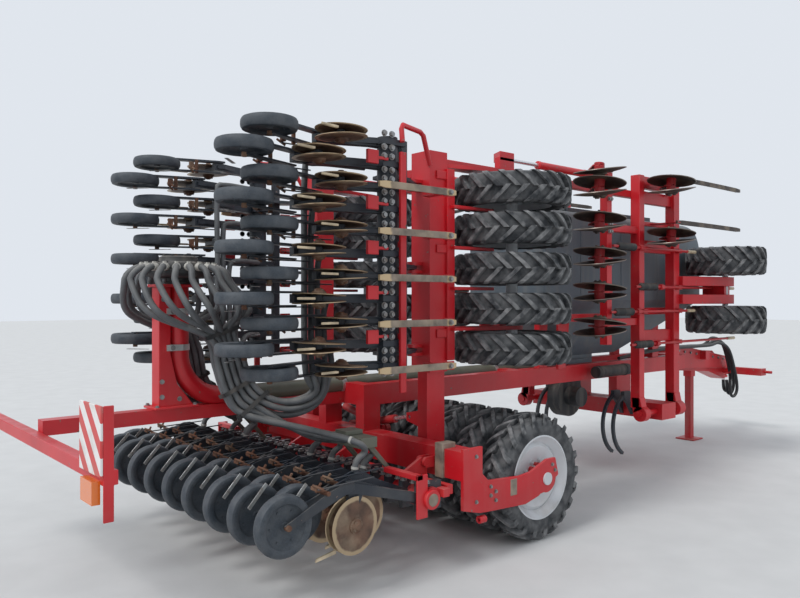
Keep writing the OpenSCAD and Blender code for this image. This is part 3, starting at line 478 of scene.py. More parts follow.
class Shape:
    """A mesh in the making: corners, faces and one mark for each corner."""

    def __init__(self) -> None:
        """Starts an empty shape."""
        self.points: list[Vector] = []
        self.faces: list[tuple[int, ...]] = []
        self.marks: list[float] = []

    def add(
        self, points: Iterable[Sequence[float]], faces: Iterable[Sequence[int]], marks: Iterable[float] | float = 0.0,
    ) -> Shape:
        """Adds a closed shell and turns its faces outwards.

        Args:
            points: corners.
            faces: corner numbers of each face.
            marks: a mark for each corner, or one for all.

        Returns:
            This shape.
        """
        new = [Vector(p) for p in points]
        loops = [tuple(f) for f in faces]
        volume = 0.0
        for loop in loops:
            for a, b in zip(loop[1:], loop[2:]):
                volume += new[loop[0]].dot(new[a].cross(new[b]))
        if volume < 0:
            loops = [tuple(reversed(f)) for f in loops]
        start = len(self.points)
        self.points += new
        self.faces += [tuple(i + start for i in f) for f in loops]
        self.marks += [marks] * len(new) if isinstance(marks, float) else list(marks)
        return self

    def join(self, other: Shape, matrix: Matrix = Matrix.Identity(4)) -> Shape:
        """Adds another shape, moved by a matrix.

        Args:
            other: the shape to add.
            matrix: its place and turn, which may mirror it.

        Returns:
            This shape.
        """
        start = len(self.points)
        mirrored = matrix.determinant() < 0
        self.points += [matrix @ p for p in other.points]
        for face in other.faces:
            moved = tuple(i + start for i in face)
            self.faces.append(tuple(reversed(moved)) if mirrored else moved)
        self.marks += other.marks
        return self

    def block(self, low: Sequence[float], high: Sequence[float], mark: float = 0.0) -> Shape:
        """Adds a box between two corners."""
        corners = [(x, y, z) for x in (low[0], high[0]) for y in (low[1], high[1]) for z in (low[2], high[2])]
        faces = [(0, 1, 3, 2), (4, 6, 7, 5), (0, 4, 5, 1), (2, 3, 7, 6), (0, 2, 6, 4), (1, 5, 7, 3)]
        return self.add(corners, faces, mark)

    def blocks(self, boxes: Iterable[Box]) -> Shape:
        """Adds a box for each pair of corners."""
        for low, high in boxes:
            self.block(low, high)
        return self

    def plate(self, outline: Sequence[Span], low: float, high: float, axis: Axis = Axis.Y) -> Shape:
        """Adds a plate.

        Args:
            outline: corners in the two axes that the plate spans, in their order X, Y, Z.
            low: its first face.
            high: its second face.
            axis: the axis through its thickness.

        Returns:
            This shape.
        """
        points = []
        for level in (low, high):
            for pair in outline:
                point = list(pair)
                point.insert(axis.value, level)
                points.append(tuple(point))
        n = len(outline)
        faces = [tuple(range(n)), tuple(range(2 * n - 1, n - 1, -1))]
        faces += [(i, i + n, (i + 1) % n + n, (i + 1) % n) for i in range(n)]
        return self.add(points, faces)

    def lathe(self, profile: Profile, sides: int, ring: bool = False) -> Shape:
        """Turns a profile round the Y axis.

        Args:
            profile: radius and place along Y of each point, and its mark where it has one.
            sides: how many sides the round has.
            ring: True where the profile closes on itself, False where both ends lie on the axis.

        Returns:
            This shape.
        """
        points: list[tuple[float, float, float]] = []
        marks: list[float] = []
        rows: list[list[int]] = []
        for radius, along, *mark in profile:
            count = 1 if radius < 1e-6 else sides
            rows.append([len(points) + (i if count > 1 else 0) for i in range(sides)])
            for i in range(count):
                angle = 2 * math.pi * i / sides
                points.append((radius * math.cos(angle), along, radius * math.sin(angle)))
                marks.append(mark[0] if mark else 0.0)
        pairs = list(zip(rows, rows[1:])) + ([(rows[-1], rows[0])] if ring else [])
        faces = []
        for first, second in pairs:
            for i in range(sides):
                j = (i + 1) % sides
                corners = dict.fromkeys((first[i], first[j], second[j], second[i]))
                if len(corners) > 2:
                    faces.append(tuple(corners))
        return self.add(points, faces, marks)

    def rod(
        self, start: Sequence[float], end: Sequence[float], radius: float, sides: int = 16, mark: float = 0.0,
    ) -> Shape:
        """Adds a round rod between two points.

        Args:
            start: the middle of its first end.
            end: the middle of its second end.
            radius: its radius.
            sides: sides of its round.
            mark: its mark.

        Returns:
            This shape.
        """
        a, b = Vector(start), Vector(end)
        turn = Vector((0, 1, 0)).rotation_difference(b - a).to_matrix().to_4x4()
        length = (b - a).length
        rod = Shape().lathe([(0, 0, mark), (radius, 0, mark), (radius, length, mark), (0, length, mark)], sides)
        return self.join(rod, Matrix.Translation(a) @ turn)

    def tube(self, path: Sequence[Vector], radius: float, sides: int = 10) -> Shape:
        """Adds a round tube along a path; its mark is the length along it.

        Args:
            path: the points that it passes.
            radius: its radius.
            sides: sides of its round.

        Returns:
            This shape.
        """
        frames, length = [], 0.0
        side = (path[1] - path[0]).orthogonal().normalized()
        for i, point in enumerate(path):
            ahead = (path[min(i + 1, len(path) - 1)] - path[max(i - 1, 0)]).normalized()
            side = (side - ahead * side.dot(ahead)).normalized()
            length += (point - path[i - 1]).length if i else 0.0
            frames.append((point, side, ahead.cross(side), length))
        points, marks = [], []
        for point, across, up, run in frames:
            for i in range(sides):
                angle = 2 * math.pi * i / sides
                points.append(point + radius * (math.cos(angle) * across + math.sin(angle) * up))
                marks.append(run)
        n = sides
        faces = [tuple(range(n)), tuple(range(len(points) - 1, len(points) - n - 1, -1))]
        for row in range(len(path) - 1):
            for i in range(n):
                j = (i + 1) % n
                faces.append((row * n + i, (row + 1) * n + i, (row + 1) * n + j, row * n + j))
        return self.add(points, faces, marks)

    def bolt(self, at: Sequence[float], axis: Sequence[float], size: float = 0.024) -> Shape:
        """Adds a hexagon head with its washer, standing on a surface.

        Args:
            at: the spot on the surface.
            axis: the way that the head looks.
            size: about the width of the head.

        Returns:
            This shape.
        """
        way = Vector(axis).normalized()
        base = Vector(at)
        self.rod(base, base + way * size * 0.16, size * 0.75, 14, 0.2)
        return self.rod(base, base + way * size * 0.62, size * 0.55, 6, 0.4)

    def bar(self, start: Vector, end: Vector, width: float, low: float, high: float) -> Shape:
        """Adds a flat bar between two places in X and Z, from low to high in Y."""
        side = (end - start).orthogonal().normalized() * width / 2
        return self.plate([tuple(start + side), tuple(end + side), tuple(end - side), tuple(start - side)], low, high)

    def eye(self, x: Span, y: float, z: float, bore: float, outer: float) -> Shape:
        """Adds a bored eye along X."""
        length = x[1] - x[0]
        ring = Shape().lathe([(bore, 0), (outer, 0), (outer, length), (bore, length)], 36, ring=True)
        return self.join(ring, lengthwise((x[0], y, z)))

    def build(self, name: str, finish: Finish, crease: float = 35.0) -> Thing:
        """Makes an object of the shape, smooth up to an angle.

        Args:
            name: the object's name.
            finish: its finish.
            crease: the angle in degrees past which an edge stays sharp.

        Returns:
            The new object, linked to the scene.
        """
        mesh = bpy.data.meshes.new(name)
        mesh.from_pydata([tuple(p) for p in self.points], [], self.faces)
        mesh.attributes.new("mark", "FLOAT", "POINT").data.foreach_set("value", self.marks)
        creased(mesh, crease)
        mesh.materials.append(material_of(finish))
        mesh.update()
        return linked(name, mesh)


class Repeat(Nodes):
    """A Geometry Nodes tree in the making, with named inputs."""

    def __init__(self, name: str, inputs: dict[str, str]) -> None:
        """Starts a tree.

        Args:
            name: the tree's name.
            inputs: socket type of each named input, after the geometry; the material comes last.
        """
        super().__init__(bpy.data.node_groups.new(name, "GeometryNodeTree"))
        sockets = self.tree.interface
        sockets.new_socket("Geometry", in_out="INPUT", socket_type="NodeSocketGeometry")
        self.keys = {
            key: sockets.new_socket(key, in_out="INPUT", socket_type="NodeSocket" + kind).identifier
            for key, kind in {**inputs, "Material": "Material"}.items()
        }
        sockets.new_socket("Geometry", in_out="OUTPUT", socket_type="NodeSocketGeometry")
        self.entry = self.tree.nodes.new("NodeGroupInput").outputs

    def close(self, geometry: Socket) -> Repeat:
        """Ends the tree in realized instances with their material."""
        real = self.node("GeometryNodeRealizeInstances", {0: geometry})
        inputs = {"Geometry": real.outputs[0], "Material": self.entry["Material"]}
        dressed = self.node("GeometryNodeSetMaterial", inputs)
        self.node("NodeGroupOutput", {0: dressed.outputs[0]})
        return self

    def run(
        self, name: str, source: Thing, finish: Finish, values: dict[str, object], crease: float = 35.0,
    ) -> Thing:
        """Runs the tree on an object and returns the result as a plain mesh object.

        Args:
            name: the new object's name.
            source: the object that holds the points or curves; it is removed.
            finish: the finish of what it makes.
            values: a value for each named input before the material.
            crease: the angle in degrees past which an edge stays sharp.

        Returns:
            The new object.
        """
        modifier = source.modifiers.new("repeat", "NODES")
        modifier.node_group = self.tree
        for key, value in {**values, "Material": material_of(finish)}.items():
            modifier[self.keys[key]] = value
        bpy.context.view_layer.update()
        graph = bpy.context.evaluated_depsgraph_get()
        mesh = bpy.data.meshes.new_from_object(source.evaluated_get(graph))
        mesh.name = name
        source.modifiers.remove(modifier)
        bpy.data.objects.remove(source)
        creased(mesh, crease)
        return linked(name, mesh)


@cache
def ring_tree() -> Repeat:
    """Returns the tree that turns a piece round the Y axis."""
    tree = Repeat("ring", {"Piece": "Object", "Count": "Int", "Phase": "Float"})
    line = tree.node("GeometryNodeMeshLine", {"Count": tree.entry["Count"], "Offset": (0.0, 0.0, 0.0)})
    index = tree.node("GeometryNodeInputIndex")
    share = tree.node("ShaderNodeMath", {0: index.outputs[0], 1: tree.entry["Count"]}, operation="DIVIDE")
    terms = {0: share.outputs[0], 1: 2 * math.pi, 2: tree.entry["Phase"]}
    angle = tree.node("ShaderNodeMath", terms, operation="MULTIPLY_ADD")
    turn = tree.node("ShaderNodeCombineXYZ", {"Y": angle.outputs[0]})
    spin = tree.node("FunctionNodeEulerToRotation", {0: turn.outputs[0]})
    piece = tree.node("GeometryNodeObjectInfo", {"Object": tree.entry["Piece"]})
    placed = tree.node("GeometryNodeInstanceOnPoints", {
        "Points": line.outputs[0], "Instance": piece.outputs["Geometry"], "Rotation": spin.outputs[0],
    })
    return tree.close(placed.outputs[0])


@cache
def points_tree() -> Repeat:
    """Returns the tree that puts a piece on every point, turned by the point's own angles."""
    tree = Repeat("points", {"Piece": "Object"})
    turn = tree.node("GeometryNodeInputNamedAttribute", {"Name": "turn"}, data_type="FLOAT_VECTOR")
    spin = tree.node("FunctionNodeEulerToRotation", {0: turn.outputs["Attribute"]})
    piece = tree.node("GeometryNodeObjectInfo", {"Object": tree.entry["Piece"]})
    placed = tree.node("GeometryNodeInstanceOnPoints", {
        "Points": tree.entry["Geometry"], "Instance": piece.outputs["Geometry"], "Rotation": spin.outputs[0],
    })
    return tree.close(placed.outputs[0])


@cache
def hose_tree() -> Repeat:
    """Returns the tree that sweeps a round profile along curves and stores the length along them."""
    tree = Repeat("hose", {"Radius": "Float", "Step": "Float", "Sides": "Int"})
    get = tree.entry
    even = tree.node("GeometryNodeResampleCurve", {"Curve": get["Geometry"], "Length": get["Step"]}, mode="LENGTH")
    along = tree.node("GeometryNodeSplineParameter")
    noted = tree.node("GeometryNodeStoreNamedAttribute", {
        "Geometry": even.outputs[0], "Name": "mark", "Value": along.outputs["Length"],
    }, data_type="FLOAT", domain="POINT")
    outline = tree.node("GeometryNodeCurvePrimitiveCircle", {"Resolution": get["Sides"], "Radius": get["Radius"]})
    swept = tree.node("GeometryNodeCurveToMesh", {
        "Curve": noted.outputs[0], "Profile Curve": outline.outputs[0], "Fill Caps": True,
    })
    return tree.close(swept.outputs[0])


def turned(name: str, piece: Thing, count: int, finish: Finish, phase: float = 0.0) -> Thing:
    """Repeats a piece round the Y axis.

    Args:
        name: the new object's name.
        piece: the piece at angle zero.
        count: how many there are.
        finish: their finish.
        phase: angle of the first, in radians.

    Returns:
        The ring as one object.
    """
    seed = Shape().block((0, 0, 0), (0.01, 0.01, 0.01)).build("seed", finish)
    return ring_tree().run(name, seed, finish, {"Piece": piece, "Count": count, "Phase": phase})


def spread(name: str, piece: Thing, spots: Spots, finish: Finish) -> Thing:
    """Puts a piece on a list of spots.

    Args:
        name: the new object's name.
        piece: the piece at the origin.
        spots: place and turn of each copy.
        finish: their finish.

    Returns:
        All copies as one object.
    """
    mesh = bpy.data.meshes.new("spots")
    mesh.from_pydata([tuple(place) for place, _ in spots], [], [])
    flat = [value for _, turn in spots for value in turn]
    mesh.attributes.new("turn", "FLOAT_VECTOR", "POINT").data.foreach_set("vector", flat)
    return points_tree().run(name, linked("spots", mesh), finish, {"Piece": piece})


def smooth(points: Sequence[Sequence[float]], steps: int = 8) -> list[Vector]:
    """Returns a smooth path through points.

    Args:
        points: what the path passes.
        steps: pieces between two points.

    Returns:
        The path's points.
    """
    knots = [Vector(p) for p in points]
    knots = [2 * knots[0] - knots[1], *knots, 2 * knots[-1] - knots[-2]]
    path = []
    for a, b, c, d in zip(knots, knots[1:], knots[2:], knots[3:]):
        for i in range(steps):
            t = i / steps
            curve = (2 * a - 5 * b + 4 * c - d) * t * t
            path.append(0.5 * (2 * b + (c - a) * t + curve + (3 * b - a - 3 * c + d) * t ** 3))
    return [*path, knots[-2]]


def ahead(line: Sequence[Vector], i: int) -> Vector:
    """Returns the way along a line at one of its points."""
    return line[min(i + 1, len(line) - 1)] - line[max(i - 1, 0)]


def hoses(
    name: str, paths: Sequence[Sequence[Vector]], radius: float, finish: Finish, sides: int,
) -> Thing:
    """Sweeps hoses along paths.

    Args:
        name: the new object's name.
        paths: the hoses' middle lines.
        radius: the hoses' radius.
        finish: their finish.
        sides: sides of their round.

    Returns:
        All hoses as one object.
    """
    curve = bpy.data.curves.new(name, "CURVE")
    curve.dimensions = "3D"
    for path in paths:
        spline = curve.splines.new("POLY")
        spline.points.add(len(path) - 1)
        spline.points.foreach_set("co", [value for p in path for value in (*p, 1.0)])
    values = {"Radius": radius, "Step": radius * 1.5, "Sides": sides}
    return hose_tree().run(name, linked(name + "_lines", curve), finish, values, 60.0)


def drop(*pieces: Thing) -> None:
    """Removes pieces that served as patterns for others."""
    for piece in pieces:
        bpy.data.objects.remove(piece)


def settle(piece: Thing, body: str, finish: Finish, *nodes: str) -> None:
    """Makes a finished piece ride on its body and reports it.

    Args:
        piece: the finished piece.
        body: the body that it moves with.
        finish: not used.
        nodes: CAD nodes that it stands for.
    """
    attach(piece, body)
    if nodes:
        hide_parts(*nodes)
    log.info("%s on %s: %d faces", piece.name, body, len(piece.data.polygons))


def eased(piece: Thing, width: float = EDGE, angle: float = 40.0) -> Thing:
    """Rounds a piece's sharp edges and returns it.

    Args:
        piece: the piece.
        width: how wide the rounding is.
        angle: the angle in degrees past which an edge is rounded.
    """
    bevel = piece.modifiers.new("edges", "BEVEL")
    bevel.width = width
    bevel.segments = 2
    bevel.limit_method = "ANGLE"
    bevel.angle_limit = math.radians(angle)
    bevel.use_clamp_overlap = True
    return piece


def fit(name: str, shape: Shape, body: str, finish: Finish, *nodes: str, edge: float = EDGE) -> None:
    """Builds a shape, rounds its edges and makes it ride on its body.

    Args:
        name: the piece's name.
        shape: the shape, at its place on the machine.
        body: the body that it moves with.
        finish: its finish.
        nodes: CAD nodes that it stands for.
        edge: how wide the rounding is, SHARP where there is none.
    """
    piece = shape.build(name, finish)
    settle(eased(piece, edge) if edge else piece, body, finish, *nodes)


@dataclass
class Bolts:
    """Bolt heads of one size, collected first and then spread over their spots."""

    size: float = 0.024
    spots: list[tuple[Vector, Vector]] = field(default_factory=list)

    def add(self, at: Sequence[float], way: Sequence[float], matrix: Matrix = Matrix.Identity(4)) -> None:
        """Notes a bolt at a spot and the way that its head looks, both turned into the frame by the matrix."""
        self.spots.append((matrix @ Vector(at), matrix.to_3x3() @ Vector(way)))

    def build(self, name: str, body: str, finish: Finish) -> None:
        """Builds all noted bolts as one piece on a body."""
        pattern = Shape().bolt((0, 0, 0), (0, 1, 0), self.size).build("bolt", finish)
        up = Vector((0, 1, 0))
        spots = [(place, up.rotation_difference(way).to_euler()) for place, way in self.spots]
        settle(spread(name, pattern, spots, finish), body, finish)
        drop(pattern)


@dataclass(frozen=True)
class WingSide:
    """One wing, folded up about its hinge."""

    name: str
    sign: int
    zero_x: float
    hinge_y: float
    hinge_z: float

    @property
    def matrix(self) -> Matrix:
        """Turns a place at work, X from the packer's axle, into its place on the folded machine."""
        hinge = Matrix.Translation((0, self.hinge_y, self.hinge_z))
        fold = hinge @ Matrix.Rotation(math.pi / 2, 4, "X") @ hinge.inverted()
        return Matrix.Translation((self.zero_x, 0, 0)) @ flip(self.sign) @ fold

    def at(self, x: float, y: float, z: float) -> Vector:
        """Returns where a place at work is on the folded machine."""
        return self.matrix @ Vector((x, y, z))

    def fold(self, shape: Shape) -> Shape:
        """Returns a shape that is drawn at work, at its place on the folded machine."""
        return Shape().join(shape, self.matrix)

    def turn(self, spin: float = 0.0, yaw: float = 0.0) -> Euler:
        """Returns the turn of a piece whose +Y looks outboard, after its own spin and a yaw at work."""
        body = self.matrix @ Matrix.Rotation(yaw, 4, "Z") @ Matrix.Scale(self.sign, 4, (1, 0, 0))
        return (body @ Matrix.Rotation(spin, 4, "Y")).to_3x3().to_euler()


@dataclass
class Layout:
    """The machine's sizes that its pieces share, and what the frame says of its places."""

    frame: dict
    row_pitch: float = 0.15
    center_rows: int = 18
    wing_rows: int = 11
    stagger: float = 0.17
    tyre_pitch: float = 0.30
    center_tyres: int = 9
    wing_tyres: int = 5

    def __post_init__(self) -> None:
        """Reads the joints' places."""
        joints = {j["name"]: Vector(j["pos_m"]) for j in self.frame["joints"] if "pos_m" in j}
        self.axle = joints["packer_spin_center"]
        self.zero_x = self.axle.x
        hinge = joints["wing_fold_left"]
        self.right = WingSide("right", -1, self.zero_x, hinge.y, hinge.z)
        self.left = WingSide("left", 1, self.zero_x, hinge.y, hinge.z)
        self.sides = (self.right, self.left)
        self.wing_axle_x = joints["packer_spin_left"].x - self.zero_x
        self.front_wheel_x = joints["front_wheel_spin_left"].x - self.zero_x
        self.front_wheel_z = hinge.y + hinge.z - joints["front_wheel_spin_left"].y
        self.press_x = joints["press_rear_spin_center"].x - self.zero_x
        self.press_z = joints["press_rear_spin_center"].z
        self.first_tyre_y = (self.center_tyres + 1) / 2 * self.tyre_pitch
        self.first_row_y = (self.center_rows + 1) / 2 * self.row_pitch

    def x(self, value: float) -> float:
        """Returns the frame's X of a distance ahead of the packer's axle."""
        return self.zero_x + value

    @property
    def shift(self) -> Matrix:
        """Moves a place counted from the packer's axle to the frame's."""
        return Matrix.Translation((self.zero_x, 0, 0))

    def place(self, shape: Shape) -> Shape:
        """Returns a shape drawn from the packer's axle, at its place on the machine."""
        return Shape().join(shape, self.shift)

    def both(self, shape: Shape) -> Shape:
        """Returns such a shape with its mirror image on the other side."""
        here = self.place(shape)
        return Shape().join(here).join(here, flip(-1))

    def center_row(self, i: int) -> float:
        """Returns Y of a row of the centre."""
        return (i - (self.center_rows - 1) / 2) * self.row_pitch

    def wing_row(self, i: int) -> float:
        """Returns the distance outboard of a row of a wing."""
        return self.first_row_y + i * self.row_pitch


@dataclass
class TyreForm:
    """A tractor tyre with slanting lugs, drawn round the Y axis."""

    name: str
    outer_d: float
    width: float
    seat_d: float
    lugs: int
    lug_h: float = 0.032
    lug_w: float = 0.036
    sweep: float = 0.30

    def carcass(self) -> Shape:
        """Returns the tyre under its lugs."""
        seat = self.seat_d / 2
        crown = self.outer_d / 2 - self.lug_h
        height = crown - seat
        half = self.width / 2
        wall = [(0.0, 0.80, 0.0), (0.06, 0.90, 0.0), (0.12, 0.90, 0.1), (0.34, 0.985, 0.0), (0.60, 0.97, 0.0),
                (0.80, 0.92, 0.1), (0.93, 0.84, 0.2), (0.99, 0.66, 0.3), (1.01, 0.3, 0.3)]
        near = [(seat + height * r, -half * y, m) for r, y, m in wall]
        far = [(r, -y, m) for r, y, m in reversed(near)]
        return Shape().lathe([*near, (crown * 1.004, 0.0, 0.3), *far], 72, ring=True)

    def lug(self, side: int) -> Shape:
        """Returns one lug of a side, from the middle out over the shoulder."""
        outer = self.outer_d / 2
        floor = outer - self.lug_h - 0.012
        half = self.width / 2
        rows = [(-0.05, 0.0, 0.0), (0.25, 0.24, 0.0), (0.55, 0.52, 0.002), (0.82, 0.80, 0.008), (0.97, 0.97, 0.03),
                (0.985, 1.0, 0.065)]
        points, marks = [], []
        for along, lead, lower in rows:
            angle = self.sweep * lead
            foot = 0.62 * self.lug_w / outer
            top = 0.42 * self.lug_w / outer
            high = outer - lower
            low = min(floor, high - 0.02)
            for radius, shift, mark in ((low, -foot, 0.2), (high, -top, 1.0), (high, top, 1.0), (low, foot, 0.2)):
                turn = angle + shift
                points.append((radius * math.cos(turn), side * half * along, radius * math.sin(turn)))
                marks.append(mark)
        last = len(points)
        faces: list[tuple[int, ...]] = [(0, 1, 2, 3), (last - 1, last - 2, last - 3, last - 4)]
        for row in range(len(rows) - 1):
            for i in range(4):
                j = (i + 1) % 4
                faces.append((row * 4 + i, (row + 1) * 4 + i, (row + 1) * 4 + j, row * 4 + j))
        return Shape().add(points, faces, marks)

    def build(self) -> Thing:
        """Returns the whole tyre at the origin."""
        parts = [self.carcass().build(self.name + "_carcass", TYRE)]
        for side in (-1, 1):
            lug = self.lug(side).build("lug", TYRE)
            phase = (side + 1) / 2 * math.pi / self.lugs
            parts.append(turned(self.name + "_lugs", lug, self.lugs, TYRE, phase))
            drop(lug)
        return joined(self.name, parts, 40.0)


def joined(name: str, parts: Sequence[Thing], crease: float = 35.0) -> Thing:
    """Joins finished objects into one.

    Args:
        name: the new object's name.
        parts: the objects, all at the origin; they are removed.
        crease: the angle in degrees past which an edge stays sharp.

    Returns:
        The joined object.
    """
    work = bmesh.new()
    for part in parts:
        work.from_mesh(part.data)
    mesh = bpy.data.meshes.new(name)
    work.to_mesh(mesh)
    work.free()
    mesh.materials.append(parts[0].data.materials[0])
    mesh.polygons.foreach_set("material_index", [0] * len(mesh.polygons))
    creased(mesh, crease)
    drop(*parts)
    return linked(name, mesh)


@dataclass
class RimForm:
    """A dished wheel rim with its disc, bolts and hub, drawn round the Y axis, open to -Y.

    The barrel's points give how far they rise over the tyre's seat and a share of half the width.
    """

    name: str
    seat_d: float
    width: float
    bore_d: float
    bolts: int = 8
    barrel: Spans = (
        (0, -0.78), (0.016, -0.80), (0.018, -0.87), (-0.004, -0.90), (-0.012, -0.76), (-0.05, -0.42), (-0.05, 0.30),
        (-0.014, 0.76), (-0.004, 0.90), (0.018, 0.87), (0.016, 0.80), (0, 0.78), (-0.006, 0.70), (-0.042, 0.28),
        (-0.042, -0.38), (-0.006, -0.70),
    )

    def build(self) -> Thing:
        """Returns the rim at the origin."""
        seat = self.seat_d / 2 - 0.001
        half = self.width / 2
        shape = Shape().lathe([(seat + rise, half * share) for rise, share in self.barrel], 64, ring=True)
        bore, hub, face = self.bore_d / 2, self.bore_d / 2 + 0.036, -half * 0.30
        outer = seat - 0.044
        shape.lathe([
            (bore, face + 0.002), (bore, face - 0.05), (hub, face - 0.05), (hub + 0.004, face - 0.012),
            (hub + 0.06, face - 0.012), (seat * 0.74, face - 0.03), (seat * 0.86, face - 0.004),
            (outer, face + 0.004), (outer, face + 0.012), (seat * 0.85, face + 0.006), (seat * 0.74, face - 0.02),
            (hub + 0.06, face), (hub, face + 0.002),
        ], 64, ring=True)
        for x, z in circle(self.bolts, hub + 0.036, 0.5):
            shape.bolt((x, face - 0.012, z), (0, -1, 0), 0.026)
        return shape.build(self.name, RIM, 30.0)


@dataclass
class DiscForm:
    """A dished steel disc with its hub plate and bolts, drawn round the Y axis, hollow to +Y."""

    name: str
    diameter: float
    dish: float
    thickness: float
    finish: Finish
    hub_d: float = 0.12
    hub_t: float = 0.014
    bolts: int = 4
    steps: int = 7
    flat: float = 0.3

    def build(self) -> Thing:
        """Returns the disc at the origin."""
        outer = self.diameter / 2
        floor = self.dish * (self.flat ** 2 - 1.0)
        front = []
        for i in range(self.steps + 1):
            share = i / self.steps
            front.append((outer * share, self.dish * (share ** 2 - 1.0) if share > self.flat else floor, share))
        back = [(r - (0.004 if s == 1.0 else 0.0), y + self.thickness, s * 0.98) for r, y, s in reversed(front)]
        shape = Shape().lathe([*front, *back], 48)
        hub, face, foot = self.hub_d / 2, floor - self.hub_t, floor + 0.001
        plate = [(0, face, 0.2), (hub * 0.9, face, 0.3), (hub, floor - 0.01, 0.3), (hub, foot, 0.3), (0, foot, 0.3)]
        shape.lathe(plate, 24)
        for x, z in circle(self.bolts, hub * 0.62, 0.5):
            shape.bolt((x, face, z), (0, -1, 0), 0.02)
        return shape.build(self.name, self.finish, 40.0)


@dataclass
class PressWheelForm:
    """A narrow press wheel with a round rubber tread, drawn round the Y axis.

    The wall's points give a share of the radius, a share of half the width and the mark.
    """

    outer_d: float = 0.35
    width: float = 0.076
    bolts: int = 6
    wall: Route = (
        (0.0, 0.62, 0.0), (0.13, 0.62, 0.0), (0.15, 0.42, 0.0), (0.62, 0.34, 0.0), (0.66, 0.44, 0.1),
        (0.70, 0.62, 0.1), (0.72, 0.82, 0.2), (0.80, 0.96, 0.3), (0.88, 1.0, 0.4), (0.945, 0.88, 0.5),
        (0.985, 0.55, 0.6), (1.0, 0.2, 0.6),
    )

    def build(self) -> Thing:
        """Returns the wheel at the origin."""
        outer, half = self.outer_d / 2, self.width / 2
        near = [(outer * r, -half * y, m) for r, y, m in self.wall]
        far = [(r, -y, m) for r, y, m in reversed(near)]
        shape = Shape().lathe([*near, *far], 40)
        for side in (-1, 1):
            face = side * half * 0.36
            for x, z in circle(self.bolts, outer * 0.52):
                shape.rod((x, face, z), (x, face + side * 0.006, z), 0.006, 8)
        return shape.build("press_wheel", PRESS, 40.0)


@dataclass
class Packer:
    """The tyre packer rolls and the wings' front tyres."""

    layout: Layout
    tyre: TyreForm = field(default_factory=lambda: TyreForm("packer_tyre", 0.92, 0.24, 0.60, 21, 0.036, 0.046))
    front_tyre: TyreForm = field(
        default_factory=lambda: TyreForm("front_tyre", 0.82, 0.30, 0.40, 18, 0.034, 0.040, 0.36),
    )
    rim: RimForm = field(default_factory=lambda: RimForm("packer_rim", 0.60, 0.24, 0.09))
    front_rim: RimForm = field(default_factory=lambda: RimForm("front_rim", 0.40, 0.30, 0.06, 6))
    front_first: float = 0.15
    front_gap: float = 0.63

    def build(self) -> None:
        """Builds all tyres and rims."""
        lay = self.layout
        packer = (self.tyre.build(), self.rim.build(), self.rim.bore_d)
        front = (self.front_tyre.build(), self.front_rim.build(), self.front_rim.bore_d)
        dice = random.Random(4)
        middle = (lay.center_tyres - 1) / 2
        spots, rims = [], []
        for i in range(lay.center_tyres):
            place = lay.axle + Vector((0, (i - middle) * lay.tyre_pitch, 0))
            spots.append((place, Euler((0, dice.uniform(0, ANY_SPIN), 0))))
            rims.append((place, Euler((0, 0, 0 if i <= middle else math.pi))))
        self.roll(packer, "packer_{}_center", "{}_center", "packer_center", spots, rims)
        for side in lay.sides:
            first, name = lay.first_tyre_y, side.name
            rows = [first + i * lay.tyre_pitch for i in range(lay.wing_tyres)]
            places = [side.at(lay.wing_axle_x, y, lay.axle.z) for y in rows]
            spots, rims = self.wing_spots(side, places, dice)
            self.roll(packer, "packer_{}_" + name, "{}_" + name, "packer_" + name, spots, rims)
            rows = [first + self.front_first + i * self.front_gap for i in range(2)]
            places = [side.at(lay.front_wheel_x, y, lay.front_wheel_z) for y in rows]
            spots, rims = self.wing_spots(side, places, dice)
            self.roll(front, "front_{}_dressed_" + name, "front_{}_" + name, "front_wheels_" + name, spots, rims)
        drop(*packer[:2], *front[:2])

    @staticmethod
    def wing_spots(side: WingSide, places: Sequence[Vector], dice: random.Random) -> tuple[Spots, Spots]:
        """Returns the spots of a wing's tyres and of their rims, the first rim facing inwards."""
        tyres = [(place, side.turn(dice.uniform(0, ANY_SPIN))) for place in places]
        return tyres, [(place, Euler((math.pi / 2 if i else -math.pi / 2, 0, 0))) for i, place in enumerate(places)]

    @staticmethod
    def roll(
        wheel: tuple[Thing, Thing, float], piece: str, node: str, body: str,
        spots: Spots, rims: Spots,
    ) -> None:
        """Builds a row of tyres, and their rims on the shaft that the CAD node has.

        Args:
            wheel: the tyre's and the rim's pattern and the rim's bore.
            piece: the pieces' name, with {} for tyres or rims.
            node: the name of the nodes that they stand for, likewise.
            body: the body that they turn with.
            spots: the tyres' spots.
            rims: the rims' spots.
        """
        tyre, rim, bore = wheel
        settle(spread(piece.format("tyres"), tyre, spots, TYRE), body, TYRE, node.format("tyres"))
        low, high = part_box(node.format("rims"))
        middle = (low + high) / 2
        long_axis = max(range(3), key=lambda k: high[k] - low[k])
        start, end = middle.copy(), middle.copy()
        start[long_axis], end[long_axis] = low[long_axis], high[long_axis]
        shaft = Shape().rod(start, end, bore / 2, 24).build("shaft", RIM)
        row = spread("row", rim, rims, RIM)
        settle(joined(piece.format("rims"), [shaft, row], 30.0), body, RIM, node.format("rims"))


